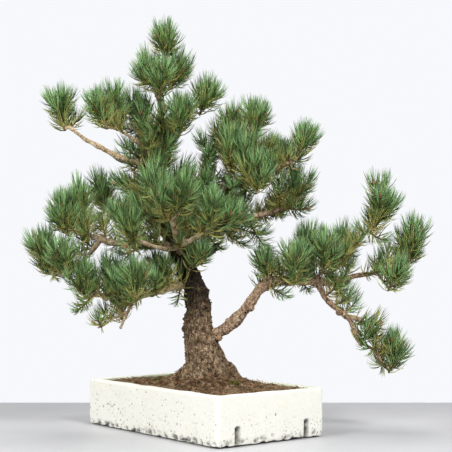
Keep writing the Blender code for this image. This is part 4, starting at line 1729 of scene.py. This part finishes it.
    def _wear(self, points: np.ndarray, out: np.ndarray) -> tuple[np.ndarray, np.ndarray]:
        """Wears the surface with waves, beads, a crumbled foot, pocks and a scratch.

        Args:
            points: The surface's places.
            out: The outward direction at each place.

        Returns:
            How far each place is pushed out, and how dark it is painted: dirt at the foot, the pocks and the
            scratch.
        """
        push = 0.0008 * rough_field(points, 0.045, 2, 1.0)
        push += 0.00034 * rough_field(points, 0.0060, 2, 2.0)
        push += 0.00020 * rough_field(points, 0.0024, 1, 3.0)
        grime = np.zeros(len(points))
        walls = out[:, 2] < 0.5
        ragged = rough_field(points, 0.011, 3, 4.0)
        foot = smoothstep(0.013, 0.001, points[:, 2] - 0.005 * ragged) * walls
        push -= foot * (0.0014 + 0.0040 * np.clip(ragged + 0.1, 0, 1))
        grime += foot * smoothstep(-0.1, 0.45, ragged) * 0.85
        chance = np.random.default_rng(self.seed)
        faces = np.flatnonzero(walls & ((out[:, :2] ** 2).sum(1) > 0.5))
        for _ in range(self.pock_count):
            place = int(faces[chance.integers(len(faces))])
            low = 1 - points[place, 2] / self.height
            fade = 0.8 if abs(out[place, 1]) > 0.5 else 3.0
            radius = chance.uniform(*self.pock_sizes) * (1.7 if chance.uniform() < self.large_share else 1.0)
            if chance.uniform() > low**fade:
                continue
            self._pock(points, push, grime, points[place], radius, chance)
        start = np.array((-0.66 * self.half_length, -self.half_width, 0.50 * self.height))
        for k in range(self.scratch_marks):
            step = (0.0017 * k, 0.0, 0.0022 * math.sin(0.55 * k) - 0.0009 * (k % 3))
            self._pock(points, push, grime, start + step, 0.0011, chance)
        return push, np.clip(grime, 0, 1)

    @staticmethod
    def _pock(
        points: np.ndarray, push: np.ndarray, grime: np.ndarray, middle: np.ndarray, radius: float,
        chance: np.random.Generator,
    ) -> None:
        """Sinks one uneven pock into the surface and paints it dark.

        Args:
            points: The surface's places.
            push: How far each place is pushed out, changed here.
            grime: How dark each place is painted, changed here.
            middle: The pock's place.
            radius: Its size.
            chance: The random draws.
        """
        stretch = chance.uniform(0.6, 1.5, 3)
        away = ((points - middle) ** 2 * stretch).sum(1)
        near = np.flatnonzero(away < (radius * 2.4) ** 2)
        share = np.exp(-away[near] / radius**2)
        push[near] -= share * radius * 0.9
        grime[near] = np.maximum(grime[near], smoothstep(0.2, 0.75, share) * chance.uniform(0.6, 1.0))

    def _cut_slots(
        self, rest: np.ndarray, moved: np.ndarray, out: np.ndarray
    ) -> tuple[np.ndarray, np.ndarray]:
        """Pushes the slots into both short walls.

        Args:
            rest: The unworn places.
            moved: The worn places.
            out: The outward direction at each place.

        Returns:
            The places with the slots in, and how dark each is painted by how far it lies inside one: painted
            shade with soil dust.
        """
        moved = moved.copy()
        depth = np.zeros(len(rest))
        on_end = (np.abs(rest[:, 0]) > self.half_length - self.slot_depth) & (out[:, 2] < 0.5)
        ragged = 0.0006 * rough_field(rest, 0.004, 2, 6.0)
        half = self.slot_width / 2
        for side in (-1, 1):
            middle = side * (self.half_width - self.slot_from_corner)
            across = np.abs(rest[:, 1] - middle) + ragged
            over_top = np.maximum(rest[:, 2] - (self.slot_height - half), 0.0)
            away = np.hypot(across, over_top)
            depth = np.maximum(depth, smoothstep(half + 0.0007, half - 0.0007, away) * on_end)
        facing = np.sign(rest[:, 0])
        moved[:, 0] -= facing * depth * self.slot_depth * (np.abs(out[:, 0]) > 0.5)
        # Painted shade with soil dust inside each slot, darker the deeper in.
        return moved, smoothstep(0.02, 0.25, depth) * 0.82


# ---- soil and moss ---------------------------------------------------------------------------------------

@dataclass
class SoilBed:
    """The soil's top with its litter, chips and moss."""

    pitch: float = 0.0022
    corner: float = 0.0075
    litter_density: float = 46000.0
    chip_density: float = 22000.0
    heap: float = 0.011
    heap_reach: float = 0.018
    copy_size: float = 0.016
    copy_lift: float = 0.0006
    steepest: float = 0.3
    seed: int = 21

    def build(self, finishes: Finishes) -> bpy.types.Object:
        """Builds the bed from the model's soil surface, then scatters what lies on it.

        Args:
            finishes: The materials.

        Returns:
            The bed.
        """
        bed = self._bed(finishes)
        self._scatter("dry_needles", bed, finishes.litter, self.litter_density, self._dry_needle)
        self._scatter("bark_chips", bed, finishes.chips, self.chip_density, self._chip)
        return bed

    def _top(self) -> tuple[np.ndarray, int]:
        """Reads the model's soil on a grid with rounded corners, roughens it and heaps it round the trunk.

        Returns:
            The grid's places, row after row, and how many a row has.
        """
        low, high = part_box("soil")
        soil, bark = search_tree("soil"), search_tree("trunk")
        columns = round((high.x - low.x) / self.pitch)
        rows = round((high.y - low.y) / self.pitch)
        points = []
        for j in range(rows + 1):
            for i in range(columns + 1):
                x = low.x + (high.x - low.x) * i / columns
                y = low.y + (high.y - low.y) * j / rows
                past_x = max(abs(x) - (high.x - self.corner), 0.0)
                past_y = max(abs(y) - (high.y - self.corner), 0.0)
                past = math.hypot(past_x, past_y)
                if past > self.corner:
                    x = math.copysign(high.x - self.corner + past_x * self.corner / past, x)
                    y = math.copysign(high.y - self.corner + past_y * self.corner / past, y)
                hit = soil.ray_cast(Vector((x * 0.995, y * 0.995, 1.0)), Vector((0, 0, -1)))[0]
                points.append((x, y, hit.z if hit else low.z))
        grid = np.array(points)
        sunk = grid[:, 2] < low.z + 0.02
        grid[sunk, 2] = np.median(grid[~sunk, 2])
        grid[:, 2] += 0.0020 * rough_field(grid, 0.020, 2, 1.0) + 0.0011 * rough_field(grid, 0.0045, 2, 2.0)
        gaps = np.array([bark.find_nearest(Vector(place))[3] for place in grid])
        grid[:, 2] += self.heap * np.exp(-((gaps / self.heap_reach) ** 2))
        return grid, columns + 1

    @staticmethod
    def _border(width: int, count: int) -> list[int]:
        """The outer places of a grid, once round it.

        Args:
            width: How many places a row has.
            count: How many places the grid has.

        Returns:
            Their numbers.
        """
        last_row = count - width
        near, right = range(width - 1), range(width - 1, count - 1, width)
        far, left = range(count - 1, last_row, -1), range(last_row, 0, -width)
        return [*near, *right, *far, *left]

    def _bed(self, finishes: Finishes) -> bpy.types.Object:
        """The soil as a closed solid with a rough top.

        Args:
            finishes: The materials.

        Returns:
            The finished piece.
        """
        grid, width = self._top()
        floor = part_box("soil")[0].z
        bm = bmesh.new()
        top = [bm.verts.new(p) for p in grid]
        for start in range(0, len(top) - width, width):
            for a in range(start, start + width - 1):
                bm.faces.new((top[a], top[a + 1], top[a + width + 1], top[a + width]))
        border = self._border(width, len(top))
        lower = [bm.verts.new((grid[k, 0], grid[k, 1], floor)) for k in border]
        for i, k in enumerate(border):
            j = (i + 1) % len(border)
            bm.faces.new((top[k], lower[i], lower[j], top[border[j]]))
        bm.faces.new(lower)
        bmesh.ops.recalc_face_normals(bm, faces=bm.faces)
        mesh = bpy.data.meshes.new("soil_bed")
        bm.to_mesh(mesh)
        bm.free()
        mesh.shade_smooth()
        mesh.materials.append(finishes.soil)
        item = as_object("soil_bed", mesh)
        place_on_model(item, "soil_litter", "soil")
        return item

    @staticmethod
    def _dry_needle(graph: GeometryGraph) -> Socket:
        """A short bent dry needle that lies on its side.

        Args:
            graph: The recipe's graph.

        Returns:
            The needle, one unit long.
        """
        line, share = graph.straight((-0.5, 0.0, 0.0), (0.5, 0.0, 0.0), 3)
        bow = graph.math("MULTIPLY", graph.math("SINE", graph.math("MULTIPLY", share, math.pi)), 0.10)
        return graph.tube(graph.moved(line, graph.vector(0.0, bow, bow)), graph.ring(3, 0.030))

    @staticmethod
    def _chip(graph: GeometryGraph) -> Socket:
        """A flat angular chip of bark or a grain of grit."""
        return graph.pebble(0.16, (1.0, 0.75, 0.42))

    def _scatter(
        self, name: str, bed: bpy.types.Object, finish: bpy.types.Material, density: float,
        shape: Callable[[GeometryGraph], Socket],
    ) -> None:
        """Scatters copies of one shape over the bed's top.

        Args:
            name: The new piece's name.
            bed: The soil's object.
            finish: The shape's material.
            density: Copies for each square metre.
            shape: The function that adds the shape to the tree.
        """
        recipe = GeometryRecipe(name.replace("_", " "))
        graph = recipe.graph
        amount = recipe.size("Density")
        size = recipe.size("Size")
        lift = recipe.size("Lift")
        seed = recipe.size("Seed", "NodeSocketInt")
        upward = graph.height(graph.node("GeometryNodeInputNormal").outputs[0])
        top = graph.math("GREATER_THAN", upward, self.steepest)
        spots = graph.spots(recipe.taken, amount, seed, top)
        facing = graph.facing(spots.outputs["Normal"])
        turned = graph.turned(facing, UPRIGHT, graph.random(0.0, WHOLE_TURN, seed, 1))
        leaning = graph.turned(turned, SIDEWAYS, graph.random(-0.5, 0.5, seed, 2))
        scale = graph.math("MULTIPLY", graph.random(0.45, 1.25, seed, 3), size)
        raised = graph.moved(spots.outputs["Points"], graph.vector(0.0, 0.0, lift))
        recipe.close(graph.copies(raised, shape(graph), leaning, scale))
        item = as_object(name, bed.data.copy())
        item.data.materials.clear()
        sizes = {"Density": density, "Size": self.copy_size, "Lift": self.copy_lift, "Seed": self.seed}
        recipe.grow(item, Finish=finish, **sizes)
        place_on_model(item, "soil_litter")


@dataclass
class Moss:
    """The moss pads: soft cushions of tiny upright leaves."""

    blade: float = 0.0030
    density: float = 900000.0
    voxel: float = 0.0011
    seed: int = 31

    @staticmethod
    def leaf_recipe() -> GeometryRecipe:
        """The tree that stands small pointed leaves all over a cushion.

        Returns:
            The recipe.
        """
        recipe = GeometryRecipe("moss leaves")
        graph = recipe.graph
        length = recipe.size("Leaf Length")
        density = recipe.size("Density")
        seed = recipe.size("Seed", "NodeSocketInt")
        spots = graph.spots(recipe.taken, density, seed)
        facing = graph.facing(graph.vector_math("ADD", spots.outputs["Normal"], (0.0, 0.0, 0.6)))
        nod = graph.vector(graph.random(-0.6, 0.6, seed), graph.random(-0.6, 0.6, seed, 1), 0.0)
        nod = graph.node("FunctionNodeEulerToRotation", {0: nod}).outputs[0]
        leaning = graph.joined_turns(facing, nod)
        size = graph.math("MULTIPLY", graph.random(0.5, 1.2, seed, 2), length)
        cone = {"Vertices": 3, "Side Segments": 1, "Radius Top": 0.02, "Radius Bottom": 0.16, "Depth": 1.0}
        leaf = graph.node("GeometryNodeMeshCone", cone).outputs[0]
        leaves = graph.copies(spots.outputs["Points"], leaf, leaning, size)
        joined = graph.node("GeometryNodeJoinGeometry", {0: leaves})
        recipe.tree.links.new(recipe.taken, joined.inputs[0])
        recipe.close(joined.outputs[0])
        return recipe

    def build(self, finishes: Finishes) -> None:
        """Builds each pad from its CAD cushion.

        Args:
            finishes: The materials.
        """
        recipe = self.leaf_recipe()
        for number, node in enumerate(("moss_front", "moss_back")):
            item = as_object(f"{node}_cushion", merged_copy(node))
            reskin(item, self.voxel)
            settled(item)
            seed = self.seed + number
            recipe.grow(item, Leaf_Length=self.blade, Density=self.density, Seed=seed, Finish=finishes.moss)
            place_on_model(item, "moss", node)


# ---- studio ----------------------------------------------------------------------------------------------

@dataclass(frozen=True)
class Softbox:
    """One square soft light: where it stands as the viewer sees it, its side in metres and its power."""

    name: str
    place: tuple[float, float, float]
    size: float
    power: float


@dataclass
class Studio:
    """Pale floor, white surround, soft lights and the camera."""

    turn: float = math.radians(51.6)
    pitch: float = math.radians(2.64)
    distance: float = 1.882
    aside: float = 0.0427
    height: float = 0.2645
    lens: float = 86.18
    sensor: float = 36.0
    floor_reach: float = 1.2
    floor_back: float = 0.40
    ambient: float = 0.22
    backdrop: float = 0.97
    sky: Colour = (0.96, 0.97, 1.0, 1.0)
    aim: Vector = field(default_factory=lambda: Vector((0.0, 0.0, 0.35)))
    lights: tuple[Softbox, ...] = (
        Softbox("key softbox", (1.3, -1.8, 2.0), 0.9, 64.0),
        Softbox("fill softbox", (-1.7, -1.5, 1.5), 1.0, 46.0),
        Softbox("top softbox", (0.0, 0.3, 2.4), 1.2, 30.0),
    )

    def build(self) -> None:
        """Builds the camera, the lights, the surround and the floor."""
        self._camera()
        self._floor()
        self._surround()
        for light in self.lights:
            self._light(light)

    def _seen(self, right: float, back: float, up: float) -> Vector:
        """A place given as the viewer sees it, in the model's frame."""
        return Matrix.Rotation(self.turn, 3, "Z") @ Vector((right, back, up))

    def _camera(self) -> None:
        """Sets the camera in front of the tree."""
        data = bpy.data.cameras.new("camera")
        data.lens = self.lens
        data.sensor_width = self.sensor
        data.clip_start = 0.05
        camera = bpy.data.objects.new("camera", data)
        bpy.context.scene.collection.objects.link(camera)
        camera.location = self._seen(self.aside, -self.distance, self.height)
        camera.rotation_euler = (math.pi / 2 + self.pitch, 0.0, self.turn)
        bpy.context.scene.camera = camera

    def _light(self, softbox: Softbox) -> None:
        """Sets up one light, aimed at the tree's middle.

        Args:
            softbox: The light's place and sizes.
        """
        data = bpy.data.lights.new(softbox.name, "AREA")
        data.size = softbox.size
        data.energy = softbox.power
        light = bpy.data.objects.new(softbox.name, data)
        bpy.context.scene.collection.objects.link(light)
        light.location = self._seen(*softbox.place)
        light.rotation_euler = (self.aim - light.location).to_track_quat("-Z", "Y").to_euler()

    def _floor(self) -> None:
        """A pale table top that ends in a straight edge behind the tree."""
        side, back, under = self.floor_reach, self.floor_back, -0.0008
        corners = [(-side, -side), (side, -side), (side, back), (-side, back)]
        mesh = bpy.data.meshes.new("pale_floor")
        mesh.from_pydata([self._seen(right, away, under) for right, away in corners], [], [(0, 1, 2, 3)])
        material, graph, shader = new_material("pale floor")
        colour = graph.mixed(graph.noise(graph.place(), 9.0), tint(190, 190, 192), tint(204, 204, 206))
        wire(graph, shader, Base_Color=colour, Roughness=0.5)
        mesh.materials.append(material)
        as_object("pale_floor", mesh)

    def _surround(self) -> None:
        """White all round."""
        world = bpy.data.worlds.new("white surround")
        world.use_nodes = True
        back = world.node_tree.nodes["Background"]
        graph = Graph(world.node_tree)
        seen = graph.node("ShaderNodeLightPath").outputs["Is Camera Ray"]
        graph.feed(back.inputs["Strength"], graph.spread(seen, 0.0, 1.0, self.ambient, self.backdrop))
        graph.feed(back.inputs["Color"], self.sky)
        bpy.context.scene.world = world
        bpy.context.scene.view_settings.view_transform = "Standard"


def main() -> None:
    """Builds the studio and every piece of the bonsai, in order."""
    Studio().build()
    finishes = Finishes()
    Trough().build(finishes)
    SoilBed().build(finishes)
    Moss().build(finishes)
    wood = Wood()
    wood.build(finishes)
    LooseBark().build(wood.pieces[0], finishes)
    Foliage().build(finishes)


if __name__ == "__main__":
    main()
